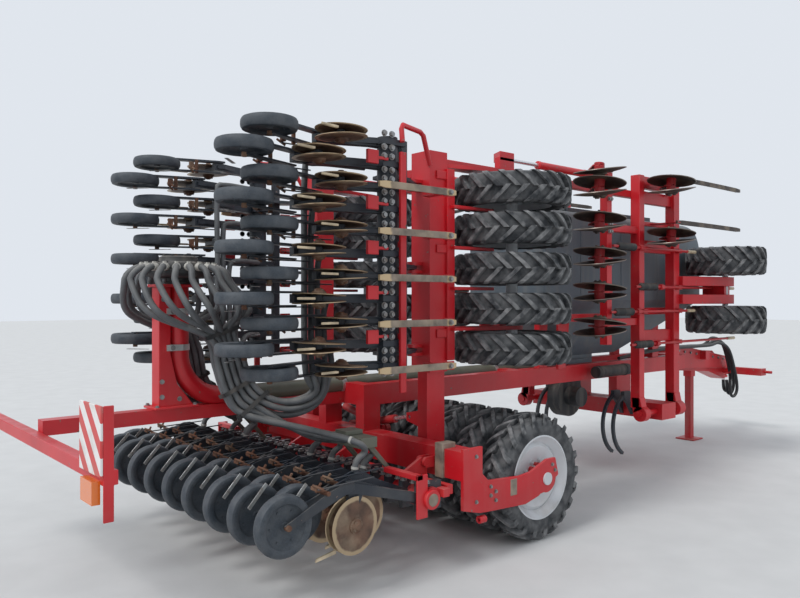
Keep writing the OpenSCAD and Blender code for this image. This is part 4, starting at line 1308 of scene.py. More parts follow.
@dataclass
class Discs:
    """The harrow's disc pairs and the seed discs, each pair closed in front."""

    layout: Layout
    harrow_z: float = 0.42
    harrow_d: float = 0.46
    dish: float = 0.030
    arm_t: float = 0.016
    rear_x: float = 1.24
    front_x: float = 2.44
    pitch: float = 0.305
    first: float = 0.13
    angle: float = math.radians(8)
    rear_pairs: int = 5
    front_rows: tuple[float, ...] = (2.48, 2.985)
    edge_y: float = 3.043
    rear_beam: Span = (1.70, 0.65)
    front_beam: Span = (2.74, 0.64)
    seed_x: float = -1.70
    seed_z: float = 0.44
    seed_d: float = 0.34
    seed_angle: float = math.radians(3)
    coulter_half: float = 0.014

    def build(self) -> None:
        """Builds the discs of both wings and of the centre."""
        lay = self.layout
        harrow = DiscForm("harrow_disc", self.harrow_d, self.dish, 0.006, DISC).build()
        seed = DiscForm("seed_disc", self.seed_d, 0.006, 0.005, SEED_DISC, 0.09).build()
        dice = random.Random(7)
        angle, seed_angle, z = self.angle, self.seed_angle, self.harrow_z
        half = (self.harrow_d / 2 * math.sin(angle) + self.arm_t / 2 + 0.005) / math.cos(angle)
        seed_half = self.coulter_half + 0.003 + self.seed_d / 2 * math.sin(seed_angle)
        rear_y = lay.first_tyre_y + self.first
        for side in lay.sides:
            spots = []
            for inner in (True, False):
                for i in range(self.rear_pairs):
                    spots.append(self.spot(side, (self.rear_x, rear_y + i * self.pitch, z), half, angle, inner, dice))
                for y in self.front_rows:
                    spots.append(self.spot(side, (self.front_x, y, z), half, angle, inner, dice))
            spots.append(self.spot(side, (self.rear_x, self.edge_y, z), half, angle, True, dice))
            self.arms(side, rear_y)
            discs = spread("harrow_discs_dressed_" + side.name, harrow, spots, DISC)
            settle(discs, "wing_" + side.name, DISC, "harrow_discs_" + side.name)
            spots = []
            for i in range(lay.wing_rows):
                x = self.seed_x + (lay.stagger if i % 2 == 0 else 0.0)
                place = (x, lay.wing_row(i), self.seed_z)
                for inner in (True, False):
                    spots.append(self.spot(side, place, seed_half, seed_angle, inner, dice))
            discs = spread("seed_discs_dressed_" + side.name, seed, spots, SEED_DISC)
            settle(discs, "drill_" + side.name, SEED_DISC, "seed_discs_" + side.name)
        spots = []
        for i in range(lay.center_rows):
            x = lay.x(self.seed_x + (lay.stagger if i % 2 else 0.0))
            for sign in (-1, 1):
                way = Vector((math.sin(seed_angle), sign * math.cos(seed_angle), 0))
                yaw = seed_angle if sign < 0 else math.pi - seed_angle
                place = Vector((x, lay.center_row(i), self.seed_z)) + way * seed_half
                spin = Matrix.Rotation(dice.uniform(0, 6), 3, "Y")
                spots.append((place, (Matrix.Rotation(yaw, 3, "Z") @ spin).to_euler()))
        discs = spread("seed_discs_dressed_center", seed, spots, SEED_DISC)
        settle(discs, "drill_center", SEED_DISC, "seed_discs_center")
        drop(harrow, seed)

    def arms(self, side: WingSide, rear_y: float) -> None:
        """Builds the arms that hang between the discs of each pair, with their foot plates and bolts.

        Args:
            side: the wing.
            rear_y: distance outboard of the rear row's first pair.
        """
        shape, bolts, z = Shape(), Bolts(0.026), self.harrow_z
        rows = [(self.rear_x, rear_y + i * self.pitch, *self.rear_beam) for i in range(self.rear_pairs)]
        rows += [(self.front_x, y, *self.front_beam) for y in self.front_rows]
        rows.append((self.rear_x, self.edge_y, *self.rear_beam))
        for x, y, beam_x, beam_z in rows:
            shape.plate([
                (beam_x, beam_z), (beam_x + 0.06, beam_z), (x + 0.225, z + 0.143), (x + 0.04, z - 0.03),
                (x - 0.04, z - 0.03), (x - 0.04, z + 0.04), (x + 0.129, z + 0.207),
            ], y - self.arm_t / 2, y + self.arm_t / 2)
            shape.block((beam_x - 0.012, y - 0.055, beam_z - 0.014), (beam_x + 0.072, y + 0.055, beam_z - 0.0005))
            for way in (-1, 1):
                reach = 0.07 if way < 0 or y != self.edge_y else 0.02
                end = (x + reach * math.sin(self.angle), y + way * reach * math.cos(self.angle), z)
                shape.rod((x, y, z), end, 0.045, 20)
                for step in (0.012, 0.048):
                    bolts.add((beam_x + step, y + way * 0.036, beam_z - 0.014), (0, 0, -1), side.matrix)
        body = "wing_" + side.name
        fit("harrow_arms_dressed_" + side.name, side.fold(shape), body, DEEP_RED, "harrow_arms_" + side.name)
        bolts.build("harrow_arm_bolts_" + side.name, body, NUT)

    @staticmethod
    def spot(
        side: WingSide, middle: Place, half: float, angle: float, inner: bool, dice: random.Random,
    ) -> tuple[Vector, Euler]:
        """Returns place and turn of one disc of a wing's pair.

        Args:
            side: the wing.
            middle: the pair's middle at work, X from the packer's axle.
            half: distance from the pair's middle to the disc's rim.
            angle: the disc's angle to the way of travel.
            inner: True for the disc towards the machine's middle.
            dice: gives its spin.
        """
        x, y, z = middle
        out = -1 if inner else 1
        place = side.at(x + half * math.sin(angle), y + out * half * math.cos(angle), z)
        return place, side.turn(dice.uniform(0, ANY_SPIN), angle if inner else math.pi - angle)


@dataclass
class PressWheels:
    """The press wheels behind the coulters."""

    layout: Layout

    def build(self) -> None:
        """Builds the press wheels, one piece for each rank."""
        lay = self.layout
        wheel = PressWheelForm().build()
        for rank, first, ahead in (("rear", 0, 0.0), ("front", 1, lay.stagger)):
            spots = [(Vector((lay.x(lay.press_x + ahead), lay.center_row(i), lay.press_z)), Euler((0, 0.3 * i, 0)))
                     for i in range(first, lay.center_rows, 2)]
            body = f"press_{rank}_center"
            settle(spread(f"press_wheels_{rank}_center", wheel, spots, PRESS), body, PRESS, body)
        for side in lay.sides:
            for rank, first, ahead in (("rear", 1, 0.0), ("front", 0, lay.stagger)):
                spots = [(side.at(lay.press_x + ahead, lay.wing_row(i), lay.press_z), side.turn(0.4 * i))
                         for i in range(first, lay.wing_rows, 2)]
                body = f"press_{rank}_{side.name}"
                settle(spread(f"press_wheels_{rank}_{side.name}", wheel, spots, PRESS), body, PRESS, body)
        drop(wheel)


@dataclass
class Hoses:
    """The seed hoses from the distributor to the coulters, on the CAD's routes, with collars and straps."""

    layout: Layout
    per_side: int = 10
    radius: float = 0.021
    sides: int = 12
    gap: float = 0.046
    head: Span = (-2.20, 1.975)
    outlet: Spans = ((0.222, -0.004), (0.272, -0.008), (0.318, -0.040), (0.345, -0.105))
    bundle: Route = (
        (-2.05, 0.30, 1.54), (-1.995, 0.315, 1.36), (-1.945, 0.345, 1.18), (-1.86, 0.395, 1.065),
    )
    wing_turn: Route = ((-1.69, 0.47, 0.985), (-1.54, 0.56, 1.01), (-1.44, 0.62, 1.11), (-1.40, 0.65, 1.24))
    center_turns: Route = (
        (-1.19, 0.75, 0.72), (-1.25, 0.90, 0.745), (-1.29, 0.60, 0.76), (-1.36, 0.45, 0.78), (-1.43, 1.05, 0.80),
    )
    center_socket_z: float = 0.59
    wing_start: Place = (-1.395, 1.375, 0.742)
    wing_step: float = 0.052
    wing_socket_x: float = -1.18
    bend: Span = (0.44, 0.60)
    lift: Span = (1.04, 0.80)
    collar_l: float = 0.034
    collar_t: float = 0.005
    tied: tuple[int, ...] = (-7, -26)
    tie_l: float = 0.016
    tie_t: float = 0.003
    strapped: tuple[int, ...] = (0, 2, 3)
    strap_half: float = 0.013
    strap_t: float = 0.004
    strap_room: float = 0.006

    def shifted(self, k: int, point: Vector, way: Vector) -> Vector:
        """Returns where hose k runs beside the bundle's middle line.

        Args:
            k: the hose's number, from the front round to the rear.
            point: the middle line's point.
            way: the middle line's way there.
        """
        column = (self.per_side / 2 - 1) / 2 - k // 2
        across = Vector((-way.z, 0, way.x)).normalized()
        return point + self.gap * (column * across + (k % 2 - 0.5) * Vector((0, 1, 0)))

    def knots(self, k: int) -> list[Vector]:
        """Returns the points that hose k passes on the left side, X from the packer's axle."""
        angle = (k + 0.5) * math.pi / self.per_side
        x, z = self.head
        points = [Vector((x + r * math.cos(angle), r * math.sin(angle), z + h)) for r, h in self.outlet]
        line = [Vector(p) for p in self.bundle]
        entry = self.shifted(k, line[0], line[1] - line[0])
        points.append(points[-1].lerp(entry, 0.45) + 0.12 * (points[-1] - Vector((x, 0, z))).normalized())
        points += [self.shifted(k, point, ahead(line, i)) for i, point in enumerate(line)]
        half = self.per_side // 2
        if k < half:
            turn = [Vector(p) for p in self.wing_turn]
            whole = line + turn
            return points + [self.shifted(k, point, ahead(whole, i + len(line))) for i, point in enumerate(turn)]
        x, y, z = self.center_turns[k - half]
        last_x, last_y, _ = self.bundle[-1]
        return points + [Vector(p) for p in (
            ((x + last_x) / 2, (y + last_y) / 2, z + 0.12), (x - 0.09, y, z + 0.075), (x, y, z),
            (x - 0.07, y, z - 0.055), (x - 0.10, y, self.center_socket_z),
        )]

    def wing(self, side: WingSide, i: int) -> list[Vector]:
        """Returns the points that hose i passes on a wing, up to its coulter."""
        x, y, z = self.wing_start
        end = self.layout.wing_row(2 * i + 1)
        here = x - i * self.wing_step
        return [side.at(*p) for p in (
            (here, min(y + 0.05, end - 0.15), z), (here, (y + end) / 2 + 0.03, z + 0.01),
            (here, end - 0.07, z + 0.003), (here + 0.06, end, z - 0.004),
            (self.wing_socket_x, end, z - 0.1 + 0.002 * i),
        )]

    def build(self) -> None:
        """Builds the hoses, their collars at the distributor and the bundle's straps."""
        paths, collars, straps, ties = [], Shape(), Shape(), Shape()
        half = self.per_side // 2
        for side in self.layout.sides:
            mirror = self.layout.shift @ flip(side.sign)
            over = []
            for k in range(self.per_side):
                knots = [mirror @ p for p in self.knots(k)]
                if k < half:
                    over.append(smooth(knots[:-1] + self.wing(side, half - 1 - k)))
                else:
                    paths.append(smooth(knots))
                    for i in self.tied:
                        self.sleeve(ties, paths[-1][i], paths[-1][i + 1], self.tie_l, self.radius + self.tie_t, 16)
                self.sleeve(collars, knots[0], knots[1], self.collar_l, self.radius + self.collar_t, 14)
                self.screw(collars, knots[0], knots[1])
            for i in self.strapped:
                straps.join(self.strap(i), mirror)
            crossing = hoses("wing_hoses_dressed_" + side.name, over, self.radius, HOSE, self.sides)
            start = (mirror @ Vector((-1.7, self.bend[0], 1.0)), mirror @ Vector((-1.7, self.bend[1], 1.0)))
            tuple(start[0])
            tuple(start[1])
            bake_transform(crossing)
        centre = hoses("hoses_dressed", paths, self.radius, HOSE, self.sides)
        x = self.layout.x(-1.5)
        for piece, finish in ((centre, HOSE), (ties.build("hose_ties", COLLAR), COLLAR)):
            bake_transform(piece)
        fit("hose_collars", collars, "frame", COLLAR, edge=SHARP)
        fit("hose_straps", straps, "frame", BLACK_PLASTIC, edge=SHARP)

    @staticmethod
    def sleeve(shape: Shape, start: Vector, end: Vector, length: float, radius: float, sides: int) -> None:
        """Adds a sleeve round a hose, from one point on towards the next.

        Args:
            shape: what it is added to.
            start: where the sleeve begins.
            end: the point that it looks to.
            length: its length.
            radius: its outer radius.
            sides: sides of its round.
        """
        shape.rod(start, start + (end - start).normalized() * length, radius, sides)

    def screw(self, shape: Shape, start: Vector, end: Vector) -> None:
        """Adds the screw lug on top of a collar, which runs from start towards end."""
        reach = Vector((0.009, 0.009, 0.006))
        middle = start + (end - start).normalized() * (self.collar_l / 2)
        at = middle + Vector((0, 0, self.radius + 0.008))
        shape.block(at - reach, at + reach)

    def strap(self, i: int) -> Shape:
        """Returns the strap round the bundle at one of its points."""
        line = [Vector(p) for p in self.bundle]
        way = ahead(line, i).normalized()
        across = Vector((-way.z, 0, way.x)).normalized()
        turn = Matrix((across, way, way.cross(across))).transposed().to_4x4()
        wide = self.gap * self.per_side / 4 + self.radius * 0.2 + self.strap_room
        deep = self.gap / 2 + self.radius + self.strap_room
        half, wall = self.strap_half, self.strap_t
        shape = Shape().blocks((
            ((-wide, -half, deep - wall), (wide, half, deep)), ((-wide, -half, -deep), (wide, half, wall - deep)),
            ((-wide, -half, -deep), (wall - wide, half, deep)), ((wide - wall, -half, -deep), (wide, half, deep)),
        ))
        return Shape().join(shape, Matrix.Translation(line[i]) @ turn)


@dataclass
class Distributor:
    """The distributor's round head over the riser, with its ribbed lid.

    The wall's points give a share of the radius and a height, the neck's a radius and a height.
    """

    layout: Layout
    place: float = -2.20
    floor: float = 1.90
    radius: float = 0.2195
    ribs: int = 20
    lid_bolts: int = 8
    lid_z: float = 0.148
    wall: Spans = (
        (0, 0.001), (0.8, 0.001), (0.93, 0.012), (1, 0.03), (1, 0.05), (0.985, 0.053), (0.985, 0.061), (1, 0.064),
        (1, 0.085), (0.97, 0.098), (0.86, 0.106), (0.6, 0.110), (0.58, 0.118), (0.57, 0.140), (0.50, 0.148),
        (0, 0.149),
    )
    neck: Spans = (
        (0.066, -0.038), (0.092, -0.038), (0.092, -0.026), (0.072, -0.020), (0.072, 0.002), (0.066, 0.002),
    )

    def build(self) -> None:
        """Builds the head, its neck, its ribs and its bolts."""
        at = Vector((self.layout.x(self.place), 0, self.floor))
        r = self.radius
        shape = Shape().join(Shape().lathe([(r * share, z) for share, z in self.wall], 60), upright(at))
        shape.join(Shape().lathe(self.neck, 40, ring=True), upright(at))
        rib = Shape().block((r * 0.60, -0.004, 0.100), (r * 0.93, 0.004, 0.109))
        for i in range(self.ribs):
            shape.join(rib, Matrix.Translation(at) @ Matrix.Rotation(2 * math.pi * (i + 0.5) / self.ribs, 4, "Z"))
        for x, y in circle(self.lid_bolts, r * 0.46):
            shape.bolt(at + Vector((x, y, self.lid_z)), (0, 0, 1), 0.016)
        fit("distributor_dressed", shape, "frame", BLACK_PLASTIC, "distributor", edge=SHARP)


@dataclass
class FrontFrame:
    """The front frame of each wing: its beams, rungs, side tube, wheel arm and depth ram."""

    layout: Layout
    out_y: float = 3.098
    main_x: Span = (2.22, 2.31)
    front_x: Span = (2.87, 2.98)
    beam_z: Span = (0.63, 0.73)
    gang_x: Span = (1.70, 1.78)
    gang_y: float = 1.44
    rungs: tuple[float, ...] = (1.50, 2.40, 2.89)
    rung_half: float = 0.06
    links: tuple[float, ...] = (1.65, 2.55)
    link_half: float = 0.035
    stay: Span = (2.61, 2.65)
    hinge: Span = (0.74, 0.63)
    side_tube: Box = ((-0.485, 2.88, 0.7297), (2.34, 2.95, 0.7997))
    wheel_arms: Span = (1.82, 2.01)
    wheel_arm_w: float = 0.10
    wheel_arm: Spans = (
        (2.979, 0.59), (2.979, 0.72), (3.96, 0.72), (3.96, 0.61), (3.74, 0.41), (3.58, 0.41),
    )
    wheel_block: Box = ((3.60, 1.90, 0.45), (3.72, 2.03, 0.70))
    ram_y: float = 3.06
    ram_z: float = 0.83
    rod_x: Span = (0.479, 0.91)
    barrel_x: Span = (0.899, 1.611)
    spindle_z: float = 0.585
    spindle_rows: Route = ((1.70, 3.22, 2.37), (2.08, 4.08, 1.992), (1.66, 3.20, 1.75), (2.00, 4.10, 1.43))
    bellows_folds: int = 8
    bellows_pitch: float = 0.036

    def build(self) -> None:
        """Builds both wings' front frames."""
        for side in self.layout.sides:
            body = "wing_" + side.name
            shape, bolts = Shape(), Bolts(0.03)
            self.beams(shape)
            self.ladder(shape, bolts, side)
            self.wheel_carrier(shape, bolts, side)
            self.ram(shape)
            fit("front_frame_dressed_" + side.name, side.fold(shape), body, RED, "front_frame_" + side.name)
            bolts.build("front_frame_bolts_" + side.name, body, NUT)
            start, end = ((x, self.ram_y, self.ram_z) for x in self.rod_x)
            rod = Shape().rod(start, end, 0.017, 20)
            fit("depth_rods_" + side.name, side.fold(rod), body, CHROME, edge=SHARP)
            self.spindles(side, body)

    def beams(self, shape: Shape) -> None:
        """Adds the main and the front beam with their hinge eyes and webs."""
        y, z = self.hinge
        for low, high in (self.main_x, self.front_x):
            shape.eye((low, high), y, z, 0.03, 0.075)
            shape.block((low, y + 0.055, self.beam_z[0]), (high, self.out_y, self.beam_z[1]))
            shape.plate([(y + 0.05, 0.60), (y + 0.16, 0.625), (y + 0.16, 0.72), (y, 0.704)], low, high, Axis.X)

    def ladder(self, shape: Shape, bolts: Bolts, side: WingSide) -> None:
        """Adds the rungs between the beams, the gang beam with its links and the side tube.

        Args:
            shape: the frame's shape.
            bolts: the frame's bolts.
            side: the wing.
        """
        rear, front = self.main_x[1], self.front_x[0]
        top = self.beam_z[1]
        for y in (*self.rungs, self.out_y - self.rung_half):
            high_y = min(y + self.rung_half, self.out_y)
            shape.block((rear - SINK, y - self.rung_half, 0.665), (front + SINK, high_y, 0.7299))
            for x in (rear + 0.03, front - 0.03):
                bolts.add((x, y, top), (0, 0, 1), side.matrix)
        low, high = self.gang_x
        shape.block((low, self.gang_y, 0.65), (high, self.out_y, 0.7298))
        for y in self.links:
            shape.block((high - SINK, y - self.link_half, 0.655), (self.main_x[0] + SINK, y + self.link_half, 0.7296))
        shape.block(*self.side_tube)

    def wheel_carrier(self, shape: Shape, bolts: Bolts, side: WingSide) -> None:
        """Adds the arm that carries the front wheels, its bolts and the stay beside it.

        Args:
            shape: the frame's shape.
            bolts: the frame's bolts.
            side: the wing.
        """
        for y in self.wheel_arms:
            shape.plate(self.wheel_arm, y, y + self.wheel_arm_w)
        shape.block(*self.wheel_block)
        for x in (3.10, 3.32):
            for y in (1.87, 2.06):
                bolts.add((x, y, 0.72), (0, 0, 1), side.matrix)
        low, high = self.stay
        shape.block((self.main_x[1] - SINK, low, 0.69), (self.front_x[0] + SINK, high, 0.729))

    def ram(self, shape: Shape) -> None:
        """Adds the depth ram's horn, its barrel and its lugs."""
        y, z = self.ram_y, self.ram_z
        shape.plate([(0.30, 0.735), (0.48, 0.735), (0.48, 0.86), (0.42, 0.875), (0.36, 0.86)], 3.02, 3.096)
        shape.block((0.30, 2.90, 0.735), (0.48, 3.05, 0.795))
        shape.rod((self.barrel_x[0], y, z), (self.barrel_x[1], y, z), 0.034, 28)
        for x in (0.90, 1.585):
            shape.rod((x, y, z), (x + 0.03, y, z), 0.0375, 28)
        shape.plate([
            (1.60, z - 0.035), (1.74, 0.72), (1.78, 0.72), (1.78, 0.80), (1.66, z + 0.035), (1.60, z + 0.03),
        ], 3.035, 3.085)

    def spindles(self, side: WingSide, body: str) -> None:
        """Builds the depth spindles across the frame, with their bellows and brass ends.

        Args:
            side: the wing.
            body: the wing's body.
        """
        bellows, brass, steel = Shape(), Shape(), Shape()
        z, pitch = self.spindle_z, self.bellows_pitch
        fold = Shape().lathe([(0, 0), (0.022, 0), (0.038, pitch / 2), (0.022, pitch), (0, pitch)], 16)
        for start, end, y in self.spindle_rows:
            for i in range(self.bellows_folds):
                bellows.join(fold, lengthwise((start + 0.08 + pitch * i, y, z)))
            steel.rod((start, y, z), (end - 0.16, y, z), 0.013, 14)
            steel.rod((start + 0.44, y, z), (start + 0.50, y, z), 0.03, 6)
            brass.rod((end - 0.16, y, z), (end, y, z), 0.017, 14)
            for x in (2.265, 2.925):
                if start + 0.45 < x < end:
                    steel.block((x - 0.03, y - 0.022, z), (x + 0.03, y + 0.022, self.beam_z[0] + 0.01))
        fit("spindle_bellows_" + side.name, side.fold(bellows), body, BLACK_PLASTIC, edge=SHARP)
        fit("spindles_" + side.name, side.fold(steel), body, DEEP_RED, edge=SHARP)
        fit("spindle_ends_" + side.name, side.fold(brass), body, TONGUE, edge=SHARP)


@dataclass
class Hopper:
    """The tall seed hopper, a funnel below and a rounded nose in front, with its cradle."""

    layout: Layout
    top: float = 2.60
    waist: float = 1.75
    foot: float = 1.19
    back: float = 1.10
    nose: float = 3.90
    nose_r: float = 0.34
    foot_x: Span = (1.85, 2.70)
    half_w: float = 0.48
    foot_half: float = 0.14
    corner: float = 0.09
    round_steps: int = 8
    straps: tuple[float, ...] = (1.62, 2.30, 2.98)
    strap_w: float = 0.05
    strap_t: float = 0.004
    strap_z: Span = (1.80, 2.46)
    metering: Boxes = (
        ((1.66, -0.13, 1.00), (2.30, 0.13, 1.1901)), ((1.72, -0.17, 1.06), (2.24, 0.17, 1.15)),
    )
    shelf: Boxes = (((1.25, 0.475, 1.55), (1.88, 0.54, 1.62)), ((1.25, 0.475, 1.62), (1.31, 0.54, 1.78)))
    post: Spans = ((1.25, 1.11), (1.36, 1.11), (1.42, 1.56), (1.25, 1.56))
    front_shelf: Box = ((2.70, 0.475, 1.60), (3.35, 0.54, 1.67))
    lid_ribs: int = 5
    lid_pitch: float = 0.27
    lid_handle: Box = ((1.50, -0.02, 2.602), (1.56, 0.02, 2.66))

    def angles(self) -> list[float]:
        """Returns the steps of a quarter round."""
        return [math.pi / 2 * i / self.round_steps for i in range(self.round_steps + 1)]

    def outline(self) -> list[Span]:
        """Returns the hopper's outline seen from the side."""
        x, z, r = self.nose - self.nose_r, self.top - self.nose_r, self.nose_r
        arc = [(x + r * math.sin(a), z + r * math.cos(a)) for a in self.angles()]
        start = [(self.back, self.waist), (self.back, self.top - 0.15), (self.back + 0.15, self.top)]
        return [*start, *arc, (self.nose, self.waist), (self.foot_x[1], self.foot), (self.foot_x[0], self.foot)]

    def cross(self) -> list[Span]:
        """Returns the outline seen from the front."""
        w, r = self.half_w, self.corner
        arc = [(w - r + r * math.cos(a), self.top - r + r * math.sin(a)) for a in self.angles()]
        right = [(self.foot_half, self.foot), (w, self.waist), *arc]
        return [*right, *((-y, z) for y, z in reversed(right))]

    def shell(self) -> Thing:
        """Returns what the two outlines' prisms share."""
        lay = self.layout
        body = lay.place(Shape().plate(self.outline(), -0.6, 0.6)).build("hopper_side", TANK)
        across = lay.place(Shape().plate(self.cross(), 0.9, 4.1, Axis.X)).build("hopper_cross", TANK)
        cut = body.modifiers.new("cross", "BOOLEAN")
        cut.operation, cut.solver, cut.object = "INTERSECT", "EXACT", across
        bpy.context.view_layer.update()
        mesh = bpy.data.meshes.new_from_object(body.evaluated_get(bpy.context.evaluated_depsgraph_get()))
        drop(body, across)
        return linked("hopper_shell", mesh)

    def build(self) -> None:
        """Builds the hopper with its metering box and straps, the cradle and the lid's ribs."""
        lay = self.layout
        extras = Shape().blocks(self.metering)
        wide = self.half_w + self.strap_t
        for x in self.straps:
            extras.block((x, -wide, self.strap_z[0]), (x + self.strap_w, wide, self.strap_z[1]))
        hopper = joined("hopper_dressed", [self.shell(), lay.place(extras).build("extras", TANK)], 30.0)
        settle(eased(hopper, 0.012, 30.0), "frame", TANK, "hopper")
        cradle = Shape().blocks(self.shelf).plate(self.post, 0.475, 0.50).block(*self.front_shelf)
        fit("hopper_cradle", lay.both(cradle), "frame", RED)
        ribs = Shape()
        for i in range(self.lid_ribs):
            x = self.lid_pitch * i
            ribs.block((1.62 + x, -0.33, 2.6395), (1.66 + x, 0.33, 2.652))
        ribs.block(*self.lid_handle)
        fit("lid_ribs", lay.place(ribs), lay.frame["nodes"]["hopper_lid"]["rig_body"], LID)


@dataclass
class AirPipe:
    """The pipe from the metering box to the riser under the distributor, with the tower that holds it."""

    layout: Layout
    radius: float = 0.0625
    z: float = 1.09
    start_x: float = 1.66
    step: float = 0.2
    pipe_steps: int = 17
    riser_x: float = -2.20
    elbow: float = 0.31
    elbow_steps: int = 12
    riser_z: tuple[float, ...] = (1.52, 1.65, 1.75, 1.86)
    ring_t: float = 0.006
    ring_half: float = 0.02
    riser_rings: Span = (1.44, 1.68)
    pipe_rings: Span = (-0.86, 0.90)
    back: Spans = (
        (-2.36, 1.04), (-2.36, 1.84), (-2.28, 1.84), (-2.28, 1.40), (-2.235, 1.20), (-2.11, 1.04),
    )
    back_half: float = 0.06
    side_bolts: Spans = ((-2.34, 1.12), (-2.34, 1.22), (-2.22, 1.10), (-2.33, 1.76))
    foot_z: Span = (1.04, 1.056)

    def build(self) -> None:
        """Builds the straight pipe, the red riser, its clamps and the tower."""
        lay = self.layout
        turn, z = self.riser_x + self.elbow, self.z
        line = [Vector((self.start_x - self.step * i, 0, z)) for i in range(self.pipe_steps)]
        straight = Shape().tube([*line, Vector((turn, 0, z))], self.radius, 32)
        fit("air_pipe", lay.place(straight), "frame", PIPE, "seed_pipe", edge=SHARP)
        path = [Vector((turn + 0.12, 0, z))]
        for i in range(self.elbow_steps + 1):
            angle = math.pi / 2 * i / self.elbow_steps
            path.append(Vector((turn - self.elbow * math.sin(angle), 0, z + self.elbow * (1 - math.cos(angle)))))
        path += [Vector((self.riser_x, 0, height)) for height in self.riser_z]
        riser = Shape().tube(path, self.radius + 0.004, 32)
        riser.rod((turn + 0.10, 0, z), (turn + 0.14, 0, z), self.radius + 0.018, 32)
        fit("riser", lay.place(riser), "frame", RED, edge=SHARP)
        self.tower()

    def band(self, outer: float, start: float) -> Shape:
        """Returns a clamp's band round Y, from start on."""
        inner, end = outer - self.ring_t, start + 2 * self.ring_half
        return Shape().lathe([(inner, start), (outer, start), (outer, end), (inner, end)], 32, ring=True)

    def tower(self) -> None:
        """Builds the tower, the clamps and their bolts."""
        lay, x = self.layout, self.riser_x
        head, foot = self.riser_z[-1], self.foot_z
        tower = Shape().plate(self.back, -self.back_half, self.back_half)
        tower.block((-2.37, -0.11, head - 0.02), (-2.08, 0.11, head))
        tower.block((-2.40, -0.10, foot[0]), (-2.10, 0.10, foot[1]))
        bolts, rings = Bolts(0.022), Shape()
        for z in self.riser_rings:
            rings.join(self.band(self.radius + 0.010, -self.ring_half), upright((x, 0, z)))
            for y in (-1, 1):
                low, high = y * 0.066 - 0.006, y * 0.066 + 0.006
                rings.block((x - 0.11, low, z - self.ring_half), (x - 0.01, high, z + self.ring_half))
                bolts.add((x - 0.07, y * 0.072, z), (0, y, 0), lay.shift)
        for along in self.pipe_rings:
            rings.join(self.band(self.radius + 0.008, 0), lengthwise((along - self.ring_half, 0, self.z)))
        for along in (-2.38, -2.12):
            for y in (-0.08, 0.08):
                bolts.add((along, y, foot[1]), (0, 0, 1), lay.shift)
        for along, z in self.side_bolts:
            for y in (-1, 1):
                bolts.add((along, y * self.back_half, z), (0, y, 0), lay.shift)
        fit("tower_dressed", lay.place(tower), "frame", RED, "tower")
        fit("pipe_clamps", lay.place(rings), "frame", ZINC, edge=SHARP)
        bolts.build("tower_bolts", "frame", NUT)


@dataclass
class Slides:
    """The flat steel bars that drag behind and before each wing's frame, worn bright at their tips."""

    layout: Layout
    rear: Place = (-1.335, -0.648, 0.281)
    rear_rows: tuple[float, ...] = (1.41, 1.71, 2.01, 2.31, 2.61)
    rear_sag: float = 0.008
    guide: Place = (2.52, 3.86, 0.385)
    guide_rows: tuple[float, ...] = (2.63, 3.06)
    guide_sag: float = 0.012
    thickness: float = 0.014
    width: float = 0.046
    steps: int = 14
    tip: float = 0.72
    hanger_half: float = 0.006

    def slat(self, low: float, high: float, z: float, y: float, sag: float) -> Shape:
        """Returns one bowed bar with its worn tips marked.

        Args:
            low: where it begins in X.
            high: where it ends.
            z: its height in the middle.
            y: its distance outboard.
            sag: how far its tips rise.
        """
        points, marks, faces = [], [], []
        steps = self.steps
        for i in range(steps + 1):
            share = i / steps
            bow = z + sag * ((2 * share - 1) ** 2)
            half = self.width / 2 * (self.tip if i in (0, steps) else 1.0)
            for dy, dz in ((-half, 0), (half, 0), (half, self.thickness), (-half, self.thickness)):
                points.append((low + (high - low) * share, y + dy, bow + dz))
                marks.append(abs(2 * share - 1) ** 1.5)
        for i in range(steps):
            faces += [(4 * i + k, 4 * i + (k + 1) % 4, 4 * i + 4 + (k + 1) % 4, 4 * i + 4 + k) for k in range(4)]
        faces += [(0, 1, 2, 3), tuple(range(4 * steps, 4 * steps + 4))]
        return Shape().add(points, faces, marks)

    def build(self) -> None:
        """Builds the bars, their hangers and their bolts."""
        for side in self.layout.sides:
            bars, guides, hangers, bolts = Shape(), Shape(), Shape(), Bolts(0.026)
            low, high, z = self.rear
            for y in self.rear_rows:
                bars.join(self.slat(low, high, z, y, self.rear_sag))
                hangers.plate([
                    (high - 0.10, z + 0.012), (high - 0.02, z + 0.012), (high - 0.02, 0.55), (high - 0.08, 0.55),
                ], y - self.hanger_half, y + self.hanger_half)
                hangers.block((high - 0.11, y - 0.03, z + 0.018), (high - 0.01, y + 0.03, z + 0.028))
                for x in (high - 0.085, high - 0.035):
                    bolts.add((x, y, z + 0.028), (0, 0, 1), side.matrix)
                bolts.add((high - 0.06, y, z + 0.002), (0, 0, -1), side.matrix)
            low, high, z = self.guide
            for y in self.guide_rows:
                guides.join(self.slat(low, high, z, y, self.guide_sag))
                hangers.plate([
                    (low, z + 0.01), (low + 0.08, z + 0.01), (low + 0.10, 0.70), (low, 0.70),
                ], y - self.hanger_half, y + self.hanger_half)
                bolts.add((low + 0.05, y, z + 0.012), (0, 0, 1), side.matrix)
            body = "wing_" + side.name
            node = "drag_bars_" + side.name
            fit("guide_bars_" + side.name, side.fold(guides), body, DISC, edge=FINE_EDGE)
            fit("drag_bars_dressed_" + side.name, side.fold(bars), body, BAR, node, edge=FINE_EDGE)
            fit("bar_hangers_" + side.name, side.fold(hangers), body, DEEP_RED, edge=FINE_EDGE)
            bolts.build("bar_bolts_" + side.name, body, NUT)


